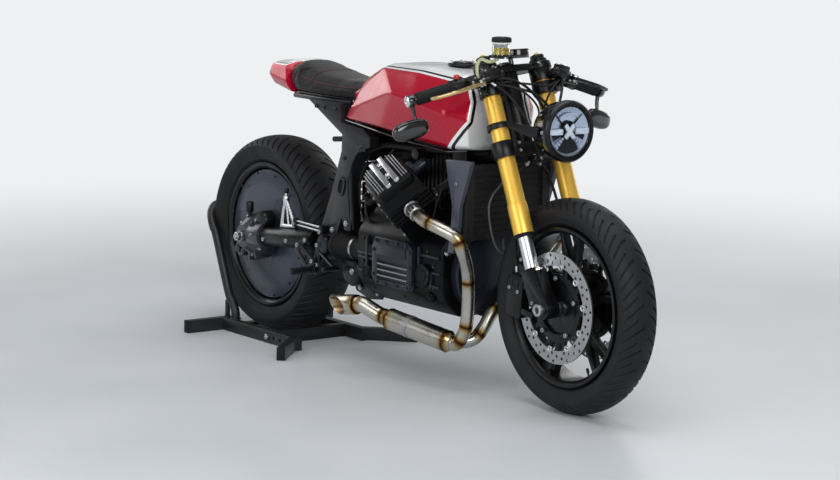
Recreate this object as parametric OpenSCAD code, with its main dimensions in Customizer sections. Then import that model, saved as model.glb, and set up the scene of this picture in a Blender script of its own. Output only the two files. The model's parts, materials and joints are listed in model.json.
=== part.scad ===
// Cafe racer motorcycle parked in a floor stand that holds its rear wheel
// Millimetres, +X forward, +Y to the rider's left, +Z up, ground at z = 0
// Heights are above the ground, and chassis x values run from the front axle

/* [Wheels] */
// Distance between the wheel axles
wheelbase = 1460; // [1430:5:1490]
// Outer radius of the front tyre
front_tyre_r = 300; // [294:1:304]
// Width of the front tyre
front_tyre_w = 120; // [112:1:126]
// Height of the front tyre's side wall above the rim
front_tyre_wall = 78; // [74:1:84]
// Outer radius of the rear tyre
rear_tyre_r = 315; // [309:1:319]
// Width of the rear tyre
rear_tyre_w = 172; // [164:1:178]
// Height of the rear tyre's side wall above the rim
rear_tyre_wall = 85; // [79:1:91]
// Radial height of a rim's barrel wall
rim_wall = 18; // [14:1:24]
// Number of forked spokes in the front wheel
front_spokes = 5; // [4:1:6]
// Gap between the rear rim's outer edge and the cover discs
cover_rim_gap = 24; // [21:1:34]
// Gap between the front rim's outer edge and the brake discs
disc_rim_gap = 67; // [64:1:74]
// Width of a brake disc's braking band
disc_band = 37; // [30:1:42]
// Thickness of a brake disc
disc_t = 5; // [4:0.5:6]

/* [Steering] */
// Rake of the fork from the vertical, in degrees
rake = 23.2; // [22.6:0.1:23.8]
// Distance between the fork legs
fork_spacing = 194; // [190:1:200]
// Distance of the axle ahead of the fork legs' plane
axle_lead = 26; // [23:1:28]
// Distance of the steering stem behind the fork legs' plane
stem_offset = 32; // [30:1:34]
// Diameter of the fork's outer tubes
fork_tube_d = 51; // [48:0.5:52]
// Diameter of the fork's lower sleeve
fork_sleeve_d = 57; // [54:0.5:58]
// Diameter of the chromed sliders
slider_d = 41; // [38:0.5:43]
// Lower end of the outer tubes, along the fork from the axle
fork_tube_low = 222; // [214:1:230]
// Upper end of the outer tubes, along the fork from the axle
fork_tube_top = 722; // [716:1:728]
// Radius of the steering stem
stem_r = 14; // [12:0.5:16]
// Radius of the front axle
axle_r = 12.5; // [11:0.5:14]
// Radius of the bore through the front axle
axle_bore_r = 9; // [7:0.5:9.5]
// Height of the bottom clamp, along the fork
bottom_clamp_h = 46; // [42:1:50]
// Height of the top clamp, along the fork
top_clamp_h = 20; // [16:1:24]
// Length of each clip-on handlebar
bar_l = 248; // [246:1:256]
// Outer radius of the handlebar tubes
bar_r = 11; // [10:0.5:12]
// Radius of the grips
grip_r = 17; // [15:0.5:18]
// Length of the grips
grip_l = 112; // [106:1:114]
// Radius of the headlamp
headlamp_r = 86; // [80:1:90]
// Depth of the headlamp's shell
headlamp_depth = 105; // [95:1:112]

/* [Bodywork] */
// Half width of the tank at its widest
tank_half_w = 188; // [180:1:194]
// Height of the tank's crown at its highest
tank_top_z = 924; // [916:1:932]
// Half width of the seat
seat_half_w = 118; // [110:1:122]
// Height of the seat pad's underside
seat_z = 795; // [793:1:800]
// Thickness of the seat pan
pan_t = 6; // [4:1:8]
// Radius of the subframe's rails
rail_r = 8; // [7:0.5:10]

/* [Frame] */
// Distance from the centre to the inner face of a side plate
plate_in = 100; // [98:1:104]
// Thickness of a side plate
plate_t = 34; // [28:1:40]
// Swingarm pivot, distance behind the front axle
pivot_back = 1022; // [1015:1:1030]
// Height of the swingarm pivot
pivot_z = 345; // [338:1:352]
// Radius of the drive shaft's tube
shaft_tube_r = 30; // [26:1:34]
// Radius of the swingarm's left tube
arm_r = 24; // [20:1:27]
// Radius of the rear axle
rear_axle_r = 10; // [9:0.5:12]

/* [Engine] */
// Half angle between the two cylinders, in degrees
vee = 42; // [40:0.5:44]
// Height of the crankshaft
crank_z = 340; // [336:1:344]
// Distance of the cylinders' centre behind the front axle
engine_back = 556; // [552:1:560]
// Twist of the cylinder heads about their bores, in degrees
head_twist = 22; // [18:1:24]
// Distance of the valve covers' top from the crankshaft
cover_reach = 393; // [388:1:398]

/* [Exhaust] */
// Radius of the header pipes
header_r = 19; // [17:0.5:20]
// Radius of the silencer
silencer_r = 32; // [29:0.5:34]
// Radius of the tail pipe's cut end
tip_r = 30; // [27:0.5:32]
// Wall of the tail pipe's end
tip_wall = 2; // [1.5:0.5:3]

/* [Stand] */
// Height of the stand's rectangular tubes
stand_h = 40; // [36:1:42]
// Width of the stand's rectangular tubes
stand_w = 25; // [22:1:28]
// Distance of the right rail's centre from the bike's centre plane
right_rail_y = 162; // [156:1:168]
// Distance of the left rail's centre from the bike's centre plane
left_rail_y = 112; // [108:1:118]
// Radius of the hoop's tube
hoop_r = 14; // [12:0.5:16]
// Height of the hoop's bar behind the tyre
hoop_z = 372; // [365:1:380]

/* [Clearances] */
// Gap between pieces that rest on each other
seat_gap = 0.3; // [0.2:0.1:0.5]
// Running gap of a shaft in its hole
run_gap = 0.08; // [0.05:0.01:0.1]
// Gap on each side of a brake disc in its caliper
pad_gap = 2; // [1.5:0.5:3]
// Gap beside turning wheels
wheel_gap = 6; // [5:0.5:8]

/* [Hidden] */
$fn = 64;

// The hoop's bar leans on the back of the rear tyre at its own height
hoop_x = -sqrt(pow(rear_tyre_r + seat_gap + hoop_r, 2) - pow(hoop_z - rear_tyre_r, 2));
front_rim_r = front_tyre_r - front_tyre_wall;
rear_rim_r = rear_tyre_r - rear_tyre_wall;
cover_r = rear_rim_r - cover_rim_gap;
disc_r = front_rim_r - disc_rim_gap;
length_all = front_tyre_r + wheelbase - hoop_x + hoop_r;
front_axle_x = length_all / 2 - front_tyre_r;
rear_axle_x = front_axle_x - wheelbase;
fork_y = fork_spacing / 2;
steer_lead = axle_lead + stem_offset;
foot_half = slider_d / 2 + 1;
foot_in = fork_y - foot_half;
foot_out = fork_y + foot_half;
disc_y = foot_in - wheel_gap - disc_t / 2;
disc_in_r = disc_r - disc_band;
carrier_t = 6;
carrier_tab_r = disc_in_r + 8;
hub_half = disc_y - disc_t / 2 - carrier_t - seat_gap;
arm_y_right = rear_tyre_w / 2 + wheel_gap + shaft_tube_r + 2;
arm_y_left = rear_tyre_w / 2 + wheel_gap + arm_r + 2;
bottom_clamp_low = 440;
bottom_clamp_top = bottom_clamp_low + bottom_clamp_h;
top_clamp_low = 692;
head_gap = 1;
clip_on_h = 34;
clip_on_low = top_clamp_low - clip_on_h - seat_gap;
clip_on_r = fork_tube_d / 2 + 8;
bar_sweep = 13;
bar_droop = 15;
bar_lead = clip_on_r - bar_r + 4;
mirror_drop = 78;
pan_low = seat_z - seat_gap - pan_t;
rail_z = pan_low - seat_gap - rail_r;
pivot = [-pivot_back, pivot_z];
shock_top_x = -1075;
tube_sides = 14;

// Vectors and routes
function unit(v) = v / norm(v);
function tangent(p, i) =
    i == 0 ? unit(p[1] - p[0])
    : i == len(p) - 1 ? unit(p[i] - p[i - 1])
    : unit(unit(p[i] - p[i - 1]) + unit(p[i + 1] - p[i]));
function square_to(t, s) = unit(s - t * (s * t));
function side_rows(p, start) =
    [for (i = 0, s = square_to(tangent(p, 0), start); i < len(p);
          i = i + 1, s = square_to(tangent(p, min(i, len(p) - 1)), s)) s];
function ring(c, t, s, r, n) =
    [for (j = [0 : n - 1]) c + r * (cos(360 * j / n) * s + sin(360 * j / n) * cross(t, s))];
function spline(a, b, c, d, u) =
    0.5 * (2 * b + (c - a) * u + (2 * a - 5 * b + 4 * c - d) * u * u + (3 * b - a - 3 * c + d) * u * u * u);
function smooth(p, k) = concat(
    [for (i = [0 : len(p) - 2]) for (j = [0 : k - 1])
        spline(p[max(i - 1, 0)], p[i], p[i + 1], p[min(i + 2, len(p) - 1)], j / k)],
    [p[len(p) - 1]]);
function mirror_y(p) = [for (q = p) [q[0], -q[1], q[2]]];

// Closed skin over rings of points that turn anticlockwise along the route
module skin(rings, flat_ends = true) {
    n = len(rings[0]);
    m = len(rings);
    last = (m - 1) * n;
    walls = [for (i = [0 : m - 2]) for (j = [0 : n - 1]) let (k = (j + 1) % n)
        each [[i * n + j, (i + 1) * n + j, (i + 1) * n + k], [i * n + j, (i + 1) * n + k, i * n + k]]];
    near = flat_ends ? [[for (j = [0 : n - 1]) j]]
        : [for (j = [0 : n / 2 - 2]) [j, j + 1, n - 2 - j, n - 1 - j]];
    far = [for (f = near) [for (j = [len(f) - 1 : -1 : 0]) last + f[j]]];
    polyhedron([for (r = rings) each r], concat(walls, near, far), convexity = 6);
}

// Round tube along a route
module tube(p, r, n = tube_sides, start = [0, 1, 0.2]) {
    rows = side_rows(p, start);
    skin([for (i = [0 : len(p) - 1]) ring(p[i], tangent(p, i), rows[i], r, n)]);
}

// Straight round bar between two points
module rod(a, b, r) {
    d = b - a;
    translate(a)
        rotate([0, acos(d[2] / norm(d)), atan2(d[1], d[0])])
            cylinder(h = norm(d), r = r);
}

// Round bar along Y, at the given x and z
module pin_y(x, z, y0, y1, r) {
    translate([x, y0, z])
        rotate([-90, 0, 0])
            cylinder(h = y1 - y0, r = r);
}

// Flat plate with its outline in x and z
module plate_y(y0, y1) {
    translate([0, y1, 0])
        rotate([90, 0, 0])
            linear_extrude(y1 - y0)
                children();
}

// Solid of one section in y and z, drawn along x
module bar_x(x0, x1) {
    translate([x0, 0, 0])
        rotate([90, 0, 90])
            linear_extrude(x1 - x0)
                children();
}

module both_sides() {
    children();
    mirror([0, 1, 0])
        children();
}

module from_front_axle() {
    translate([front_axle_x, 0, 0])
        children();
}

module from_rear_axle() {
    translate([rear_axle_x, 0, 0])
        children();
}

// Frame of the steering: z along the stem, x square to it, level with the front axle at z = 0
module steered() {
    translate([front_axle_x, 0, front_tyre_r])
        rotate([0, -rake, 0])
            translate([-steer_lead, 0, 0])
                children();
}

module at_fork_legs() {
    for (side = [-1, 1])
        translate([stem_offset, side * fork_y, 0])
            children();
}

// Solid turned about a wheel axle, from a profile of radius and y
module turned_y(x, z) {
    translate([x, 0, z])
        rotate([-90, 0, 0])
            rotate_extrude()
                children();
}

// Half sections of the bodywork, each point as x, half width, z
function reversed(p) = [for (i = [len(p) - 1 : -1 : 0]) p[i]];
module body_shell(stations) {
    skin([for (half = stations) concat(half, reversed(mirror_y(half)))], false);
}

// Tyre with a round crown over its shoulder, down to the rim's edge
module tyre(x, tyre_r, tyre_w, rim_r) {
    shoulder_r = tyre_r - tyre_w * 0.36;
    bead_w = tyre_w * 0.78;
    crown = [for (a = [-90 : 15 : 90])
        [shoulder_r + (tyre_r - shoulder_r) * cos(a), tyre_w / 2 * sin(a)]];
    turned_y(x, tyre_r)
        polygon(concat([[rim_r + seat_gap, -bead_w / 2]], crown, [[rim_r + seat_gap, bead_w / 2]]));
}

// Rim barrel with raised edges
module barrel(x, z, rim_r, rim_w) {
    lip_h = rim_wall * 0.5;
    lip_w = 9;
    turned_y(x, z)
        polygon([
            [rim_r - rim_wall, -rim_w / 2 + lip_w], [rim_r - lip_h, -rim_w / 2], [rim_r, -rim_w / 2],
            [rim_r, rim_w / 2], [rim_r - lip_h, rim_w / 2], [rim_r - rim_wall, rim_w / 2 - lip_w]]);
}

// One forked spoke in the wheel's plane, pointing up
module forked_spoke(root_r, end_r, root_w, fork_half, arm_w) {
    split_r = root_r + (end_r - root_r) * 0.42;
    difference() {
        polygon([
            [-root_w / 2, root_r], [root_w / 2, root_r], [root_w / 2, split_r],
            [end_r * sin(fork_half) + arm_w / 2, end_r * cos(fork_half)],
            [-end_r * sin(fork_half) - arm_w / 2, end_r * cos(fork_half)],
            [-root_w / 2, split_r]]);
        polygon([
            [0, split_r + arm_w], [end_r * sin(fork_half) - arm_w / 2, end_r],
            [-end_r * sin(fork_half) + arm_w / 2, end_r]]);
    }
}

// Front wheel

module front_tyre() {
    color("#1c1d20")
        tyre(front_axle_x, front_tyre_r, front_tyre_w, front_rim_r);
}

module front_rim() {
    spoke_t = 24;
    hub_r = 34;
    flange_r = 82;
    flange_t = 8;
    color("#15161a")
        difference() {
            union() {
                barrel(front_axle_x, front_tyre_r, front_rim_r, front_tyre_w * 0.78);
                pin_y(front_axle_x, front_tyre_r, -hub_half, hub_half, hub_r);
                both_sides()
                    pin_y(front_axle_x, front_tyre_r, hub_half - flange_t, hub_half, flange_r);
                translate([front_axle_x, 0, front_tyre_r])
                    plate_y(-spoke_t / 2, spoke_t / 2)
                        for (k = [0 : front_spokes - 1])
                            rotate(360 / front_spokes * k + 5)
                                forked_spoke(hub_r - 6, front_rim_r - rim_wall / 2, 40, 10, 13);
            }
            pin_y(front_axle_x, front_tyre_r, -hub_half - 1, hub_half + 1, axle_r + run_gap);
        }
}

module front_discs() {
    color("#b9bbbd")
        both_sides()
            turned_y(front_axle_x, front_tyre_r)
                translate([disc_in_r, disc_y - disc_t / 2])
                    square([disc_band, disc_t]);
}

module disc_carriers() {
    arms = 10;
    arm_w = 15;
    ring_r = disc_in_r - 22;
    color("#1a1b1f")
        both_sides()
            translate([front_axle_x, 0, front_tyre_r])
                plate_y(disc_y - disc_t / 2 - carrier_t, disc_y - disc_t / 2)
                    difference() {
                        union() {
                            circle(r = ring_r);
                            for (k = [0 : arms - 1])
                                rotate(360 / arms * k)
                                    translate([0, -arm_w / 2])
                                        square([carrier_tab_r, arm_w]);
                        }
                        circle(r = ring_r - 24);
                    }
}

// Rear wheel

module rear_tyre() {
    color("#1c1d20")
        tyre(rear_axle_x, rear_tyre_r, rear_tyre_w, rear_rim_r);
}

rear_hub_half = rear_tyre_w * 0.39;
rear_hub_r = 40;
module rear_rim() {
    web_t = 20;
    color("#15161a")
        difference() {
            union() {
                barrel(rear_axle_x, rear_tyre_r, rear_rim_r, rear_tyre_w * 0.78);
                pin_y(rear_axle_x, rear_tyre_r, -rear_hub_half, rear_hub_half, rear_hub_r);
                pin_y(rear_axle_x, rear_tyre_r, -web_t / 2, web_t / 2, rear_rim_r - rim_wall / 2);
            }
            pin_y(rear_axle_x, rear_tyre_r, -rear_hub_half - 1, rear_hub_half + 1, rear_axle_r + run_gap);
        }
}

// Dished cover disc on each side of the rear wheel
module rear_covers() {
    cover_t = 3;
    edge_y = rear_tyre_w * 0.39 - 14;
    dish = 8;
    color("#3b3e46")
        both_sides()
            turned_y(rear_axle_x, rear_tyre_r)
                polygon([
                    [rear_hub_r + seat_gap, edge_y + dish], [cover_r * 0.72, edge_y + dish],
                    [cover_r, edge_y + cover_t], [cover_r, edge_y], [cover_r * 0.72, edge_y + dish - cover_t],
                    [rear_hub_r + seat_gap, edge_y + dish - cover_t]]);
}

// Fork and front brakes

axle_end = foot_out + 18;
module front_axle() {
    collar_r = 19;
    collar_in = hub_half + seat_gap;
    color("#8a8d92")
        difference() {
            union() {
                pin_y(front_axle_x, front_tyre_r, -axle_end, axle_end, axle_r);
                both_sides() {
                    pin_y(front_axle_x, front_tyre_r, collar_in, foot_in - seat_gap, collar_r);
                    pin_y(front_axle_x, front_tyre_r, foot_out + seat_gap, axle_end, collar_r - 2);
                }
            }
            pin_y(front_axle_x, front_tyre_r, -axle_end - 1, axle_end + 1, axle_bore_r);
        }
}

foot_top = 122;
module fork_feet() {
    boss_r = 27;
    lug_w = 16;
    lug_out = 22;
    color("#1b1c20")
        steered()
            difference() {
                union() {
                    for (side = [-1, 1])
                        translate([0, side * fork_y, 0])
                            plate_y(-foot_half, foot_half)
                                union() {
                                    translate([steer_lead, 0])
                                        circle(r = boss_r);
                                    polygon([
                                        [stem_offset - 25, foot_top], [stem_offset + 25, foot_top],
                                        [steer_lead + boss_r - 2, 8], [steer_lead - boss_r + 2, -12],
                                        [stem_offset - 20, 20]]);
                                }
                    both_sides()
                        translate([steer_lead, 0, 0])
                            plate_y(foot_in, foot_in + lug_out)
                                rotate(caliper_angle)
                                    for (lug = [[40, -36], [62, 36]])
                                        translate([lug[0], lug[1] - lug_w / 2])
                                            square([caliper_in_r - seat_gap - lug[0], lug_w]);
                }
                pin_y(steer_lead, 0, -foot_out - 1, foot_out + 1, axle_r + run_gap);
            }
}

module fork_sliders() {
    color("#c9ccd0")
        steered()
            at_fork_legs()
                translate([0, 0, foot_top])
                    cylinder(h = fork_tube_low - foot_top, d = slider_d);
}

module fork_tubes() {
    sleeve_top = fork_tube_low + 92;
    taper = 26;
    cap_h = 12;
    color("#d8a21c")
        steered()
            at_fork_legs()
                rotate_extrude()
                    polygon([
                        [0, fork_tube_low], [fork_sleeve_d / 2 - 2, fork_tube_low],
                        [fork_sleeve_d / 2, fork_tube_low + 3], [fork_sleeve_d / 2, sleeve_top],
                        [fork_tube_d / 2, sleeve_top + taper], [fork_tube_d / 2, fork_tube_top],
                        [fork_tube_d / 2 - 7, fork_tube_top], [fork_tube_d / 2 - 9, fork_tube_top + cap_h],
                        [0, fork_tube_top + cap_h]]);
}

// Calipers behind the legs, each with a slot that the disc runs through
caliper_angle = 150;
caliper_in_r = disc_in_r - 4;
caliper_out_r = disc_r + 28;
module brake_calipers() {
    half_in = 30;
    half_out = 33;
    half_l = 60;
    corner = 16;
    color("#1f2024")
        steered()
            both_sides()
                translate([steer_lead, 0, 0])
                    difference() {
                        plate_y(disc_y - half_in, disc_y + half_out)
                            rotate(caliper_angle)
                                polygon([
                                    [caliper_in_r, -half_l], [caliper_out_r - corner, -half_l],
                                    [caliper_out_r, -half_l + corner], [caliper_out_r, half_l - corner],
                                    [caliper_out_r - corner, half_l], [caliper_in_r, half_l]]);
                        pin_y(0, 0, disc_y - disc_t / 2 - pad_gap, disc_y + disc_t / 2 + pad_gap, disc_r + 4);
                        pin_y(0, 0, disc_y - half_in - 1, disc_y, carrier_tab_r + wheel_gap);
                    }
}

// Clamps, stem and lamp

module clamp_outline(ring_r, stem_boss_r, web_w) {
    for (side = [-1, 1])
        translate([stem_offset, side * fork_y])
            circle(r = ring_r);
    circle(r = stem_boss_r);
    polygon([
        [-stem_boss_r + 4, -web_w / 2], [stem_offset - 14, -fork_y], [stem_offset + 14, -fork_y],
        [stem_offset + 2, 0], [stem_offset + 14, fork_y], [stem_offset - 14, fork_y],
        [-stem_boss_r + 4, web_w / 2]]);
}

module clamp_bores(low, high) {
    at_fork_legs()
        translate([0, 0, low - 1])
            cylinder(h = high - low + 2, d = fork_tube_d + 2 * seat_gap);
}

stem_top = top_clamp_low + top_clamp_h + 14;
stand_pin_r = 7;
stand_pin_depth = 40;
module bottom_clamp() {
    color("#191a1e")
        steered()
            difference() {
                union() {
                    translate([0, 0, bottom_clamp_low])
                        linear_extrude(bottom_clamp_h)
                            clamp_outline(fork_tube_d / 2 + 10, 30, 60);
                    translate([0, 0, bottom_clamp_low])
                        cylinder(h = stem_top - bottom_clamp_low, r = stem_r);
                }
                clamp_bores(bottom_clamp_low, bottom_clamp_top);
                translate([0, 0, bottom_clamp_low - 1])
                    cylinder(h = stand_pin_depth + 1, r = stand_pin_r);
            }
}

module top_clamp() {
    color("#191a1e")
        steered()
            difference() {
                union() {
                    translate([0, 0, top_clamp_low])
                        linear_extrude(top_clamp_h)
                            clamp_outline(fork_tube_d / 2 + 9, 28, 56);
                    translate([0, 0, top_clamp_low + top_clamp_h])
                        cylinder(h = 9, r = 22);
                }
                clamp_bores(top_clamp_low, top_clamp_low + top_clamp_h);
                translate([0, 0, top_clamp_low - 1])
                    cylinder(h = top_clamp_h + 11, r = stem_r + seat_gap);
            }
}

// The lamp faces straight ahead, in front of the fork
lamp_x = -38;
lamp_z = 780;
lens_t = 16;
module headlamp_shell() {
    rim_w = 22;
    tail_r = 34;
    color("#17181b")
        from_front_axle()
            translate([lamp_x, 0, lamp_z])
                rotate([0, -90, 0])
                    rotate_extrude()
                        polygon([
                            [0, lens_t + seat_gap], [headlamp_r - 12 - seat_gap, lens_t + seat_gap],
                            [headlamp_r - 12 - seat_gap, 2], [headlamp_r - 4, 0],
                            [headlamp_r, 6], [headlamp_r, rim_w], [headlamp_r - 4, rim_w + 4],
                            [headlamp_r - 8, headlamp_depth * 0.55], [headlamp_r - 26, headlamp_depth * 0.86],
                            [tail_r, headlamp_depth], [0, headlamp_depth]]);
}

module headlamp_lens() {
    lens_r = headlamp_r - 12 - 2 * seat_gap;
    crown = 9;
    color("#c8d2dc")
        from_front_axle()
            translate([lamp_x, 0, lamp_z])
                rotate([0, -90, 0])
                    rotate_extrude()
                        polygon([
                            [0, -crown], [lens_r * 0.2, -crown], [lens_r * 0.55, -crown * 0.7], [lens_r * 0.85, -crown * 0.25],
                            [lens_r, 3], [lens_r, lens_t], [0, lens_t]]);
}

bracket_low = 524;
bracket_h = 16;
module headlamp_bracket() {
    arm_in = headlamp_r + seat_gap;
    arm_t = 8;
    boss = [175, 472];
    boss_r = 9;
    boss_in = headlamp_r - 4.1;
    color("#191a1e")
        steered()
            difference() {
                union() {
                    at_fork_legs()
                        translate([0, 0, bracket_low])
                            cylinder(h = bracket_h, d = fork_tube_d + 16);
                    both_sides() {
                        plate_y(arm_in, arm_in + arm_t)
                            polygon([
                                [stem_offset + 29, bracket_low], [stem_offset + 29, bracket_low + bracket_h],
                                [boss[0] - 4, boss[1] + 16], [boss[0] + 14, boss[1] + 4],
                                [boss[0] + 4, boss[1] - 16], [boss[0] - 26, boss[1] - 8]]);
                        pin_y(boss[0], boss[1], boss_in, arm_in + arm_t, boss_r);
                    }
                }
                clamp_bores(bracket_low, bracket_low + bracket_h);
            }
}

// Handlebars, in the frame of one clip-on: x out along the bar
module at_bar(side) {
    steered()
        translate([stem_offset + bar_lead, side * fork_y, clip_on_low + clip_on_h / 2])
            rotate([0, rake, 0])
                rotate([0, 0, side * (90 + bar_sweep)])
                    rotate([0, bar_droop, 0])
                        children();
}

module handlebars() {
    color("#17181b")
        difference() {
            union() {
                steered()
                    at_fork_legs()
                        translate([0, 0, clip_on_low])
                            cylinder(h = clip_on_h, r = clip_on_r);
                for (side = [-1, 1])
                    at_bar(side)
                        rotate([0, 90, 0])
                            cylinder(h = bar_l, r = bar_r);
            }
            steered()
                clamp_bores(clip_on_low, clip_on_low + clip_on_h);
        }
}

grip_start = bar_l - grip_l - 8;
module grips() {
    flange_r = grip_r + 5;
    color("#1a1a1c")
        for (side = [-1, 1])
            at_bar(side)
                rotate([0, 90, 0])
                    rotate_extrude()
                        polygon([
                            [bar_r + seat_gap, grip_start], [flange_r, grip_start],
                            [flange_r, grip_start + 4], [grip_r, grip_start + 8],
                            [grip_r + 1.5, bar_l - 12], [grip_r - 2, bar_l - 8],
                            [bar_r + seat_gap, bar_l - 8]]);
}

// Master cylinders and switch housings clamped round the bars
module controls() {
    housing_r = 21;
    switch_w = 36;
    master_w = 46;
    color("#1b1c1f")
        for (side = [-1, 1])
            at_bar(side)
                difference() {
                    union() {
                        translate([grip_start - switch_w - 1, 0, 0])
                            rotate([0, 90, 0])
                                cylinder(h = switch_w, r = housing_r);
                        translate([grip_start - switch_w - master_w - 2, -14, -15])
                            cube([master_w, 28, 30]);
                        translate([grip_start - switch_w - master_w - 2, -side * 30 - 16, -13])
                            cube([master_w, 32, 26]);
                    }
                    translate([-1, 0, 0])
                        rotate([0, 90, 0])
                            cylinder(h = bar_l + 2, r = bar_r + seat_gap);
                }
}

// Levers: a flat curved blade ahead of each grip
module levers() {
    pivot_at = grip_start - 76;
    lever_reach = 58;
    lever_l = 168;
    blade_t = 9;
    color("#b58a4a")
        for (side = [-1, 1])
            at_bar(side)
                translate([pivot_at, 0, -blade_t / 2])
                    linear_extrude(blade_t)
                        scale([1, -side])
                            polygon([
                                [0, lever_reach - 11.7], [30, lever_reach - 11.7], [44, lever_reach - 2],
                                [90, lever_reach + 6], [130, lever_reach + 2],
                                [lever_l - 8, lever_reach - 10],
                                [lever_l, lever_reach - 4], [lever_l - 4, lever_reach + 6],
                                [132, lever_reach + 14], [88, lever_reach + 20], [34, lever_reach + 14],
                                [0, lever_reach + 6]]);
}

// Fluid pot on a short bent post that stands on the top clamp
pot_r = 25;
pot_h = 40;
module brake_reservoir() {
    post_r = 4;
    cap_h = 14;
    post = [stem_offset + fork_tube_d / 2 + post_r, -fork_y - 6, top_clamp_low + top_clamp_h + seat_gap];
    pot_base = [stem_offset + 88, -fork_y - 6, post[2] - 3];
    bend_at = [post[0], post[1], post[2] + 12];
    color("#d9c46a")
        steered() {
            rod(post, bend_at, post_r);
            rod(bend_at - [0, 0, 1], pot_base + [0, 0, 3], post_r - 0.5);
            translate(pot_base)
                rotate([0, rake, 0]) {
                    cylinder(h = pot_h, r = pot_r);
                    translate([0, 0, pot_h])
                        cylinder(h = cap_h, r = pot_r + 3);
                }
        }
}

// Mirrors hung under the bar ends
module mirrors() {
    arm_r_m = 5;
    collar_r = 17;
    collar_l = 16;
    head_w = 112;
    head_h = 58;
    head_t = 20;
    color("#141518")
        for (side = [-1, 1])
            at_bar(side) {
                translate([bar_l + seat_gap, 0, 0])
                    rotate([0, 90, 0])
                        cylinder(h = collar_l, r = collar_r);
                rod([bar_l + collar_l / 2, 0, 0], [bar_l + collar_l / 2, -side * 6, -mirror_drop], arm_r_m);
                translate([bar_l + collar_l / 2 + 20, -side * 6, -mirror_drop])
                    rotate([90, 0, 0])
                        translate([0, 0, -head_t / 2])
                            linear_extrude(head_t)
                                intersection() {
                                    translate([0, -head_w])
                                        circle(r = head_w + head_h / 2);
                                    translate([0, head_w])
                                        circle(r = head_w + head_h / 2);
                                    square([head_w, head_h], center = true);
                                }
            }
}

// Round dial above the top clamp
module gauge() {
    dial_r = 33;
    dial_t = 22;
    post_r = 7;
    color("#1a1b1e")
        steered()
            translate([stem_offset, 0, top_clamp_low + top_clamp_h + seat_gap]) {
                cylinder(h = 20, r = post_r);
                translate([dial_r - 2, 0, 8])
                    rotate([0, rake - 8, 0])
                        cylinder(h = dial_t, r = dial_r);
            }
}

// Hoses from the calipers up to the bottom clamp and on to the right control
hose_r = 4;
hose_sides = 8;
hose_route = [
    [-45, 88, 133], [-38, 86, 180], [-12, 84, 260], [-8, 80, 330],
    [2, 64, 390], [18, 36, 416], [26, 13, 427]];
hose_up = [[50, -8, 427], [74, -18, 430], [94, -32, 470], [94, -50, 540], [86, -84, 612], [74, -122, 650]];
module brake_hoses() {
    splitter = [28, 28, 22];
    color("#101012")
        steered() {
            tube(smooth(hose_route, 4), hose_r, hose_sides);
            tube(smooth(mirror_y(hose_route), 4), hose_r, hose_sides);
            tube(smooth(hose_up, 4), hose_r, hose_sides);
            translate([24, -splitter[1] / 2, bottom_clamp_low - seat_gap - splitter[2]])
                cube(splitter);
        }
}

// Frame

head_low = bottom_clamp_top + head_gap;
spine_low = 668;
spine_top = 690;
function tank_floor(x) = lookup(x, [for (t = tank_sections) [t[0][0], t[0][2]]]);
head_top = clip_on_low + clip_on_h + seat_gap - head_gap;
module frame_spine() {
    head_r = 30;
    spine_w = 70;
    saddle_w = 26;
    saddles = [-440, -850];
    color("#26282d")
        difference() {
            union() {
                steered()
                    translate([0, 0, head_low])
                        cylinder(h = head_top - head_low, r = head_r);
                from_front_axle()
                    plate_y(-spine_w / 2, spine_w / 2)
                        polygon([
                            [-262, 742], [-290, 708], [-340, spine_low], [-620, spine_low - 4], [-870, 640],
                            [-870, spine_top], [-345, spine_top], [-326, 712], [-326, 842], [-300, 842]]);
                from_front_axle()
                    for (x = saddles)
                        translate([x, -spine_w / 2, spine_top - 1])
                            cube([saddle_w, spine_w, tank_floor(x + saddle_w) - spine_top + 1 - seat_gap]);
                from_front_axle()
                    for (x = [-860, -620])
                        pin_y(x, 662, -plate_in, plate_in, 16);
            }
            steered()
                translate([0, 0, bottom_clamp_low])
                    cylinder(h = stem_top - bottom_clamp_low, r = stem_r + run_gap);
        }
}

// Side plates from the seat rails down to the swingarm pivot and the rear engine mount
module frame_plates() {
    pivot_r = 46;
    color("#3a3d45")
        from_front_axle()
            both_sides()
                difference() {
                    plate_y(plate_in, plate_in + plate_t)
                        union() {
                            polygon([
                                [-1128, 782], [-960, 782], [-952, 726], [-838, 716], [-800, 694], [-800, 664],
                                [-842, 652], [-880, 596], [-900, 540], [-888, 440], [-896, 404],
                                [-926, 402], [-940, 440],
                                [pivot[0] + 40, pivot[1] + 10], [pivot[0] - 44, pivot[1] + 16],
                                [-1000, 500], [-946, 640], [-944, 690]]);
                            translate(pivot)
                                circle(r = pivot_r);
                        }
                    pin_y(pivot[0], pivot[1], plate_in - 1, plate_in + plate_t + 1, 12 + seat_gap);
                }
}

module subframe() {
    rail_y = plate_in - seat_gap - rail_r;
    front_x = -956;
    back_x = -1262;
    eye_z = 706;
    color("#202226")
        from_front_axle() {
            both_sides()
                rod([front_x, rail_y, rail_z], [back_x, rail_y, rail_z], rail_r);
            for (x = [shock_top_x, back_x + 10])
                pin_y(x, rail_z, -rail_y, rail_y, rail_r - 1);
            for (side = [-1, 1])
                plate_y(side * 26 - 4, side * 26 + 4)
                    polygon([[shock_top_x - 24, rail_z], [shock_top_x + 24, rail_z],
                        [shock_top_x + 14, eye_z - 14], [shock_top_x - 14, eye_z - 14]]);
        }
}

// Engine

case_half = 158;
deck = 168;
deck_half = 50;
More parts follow.
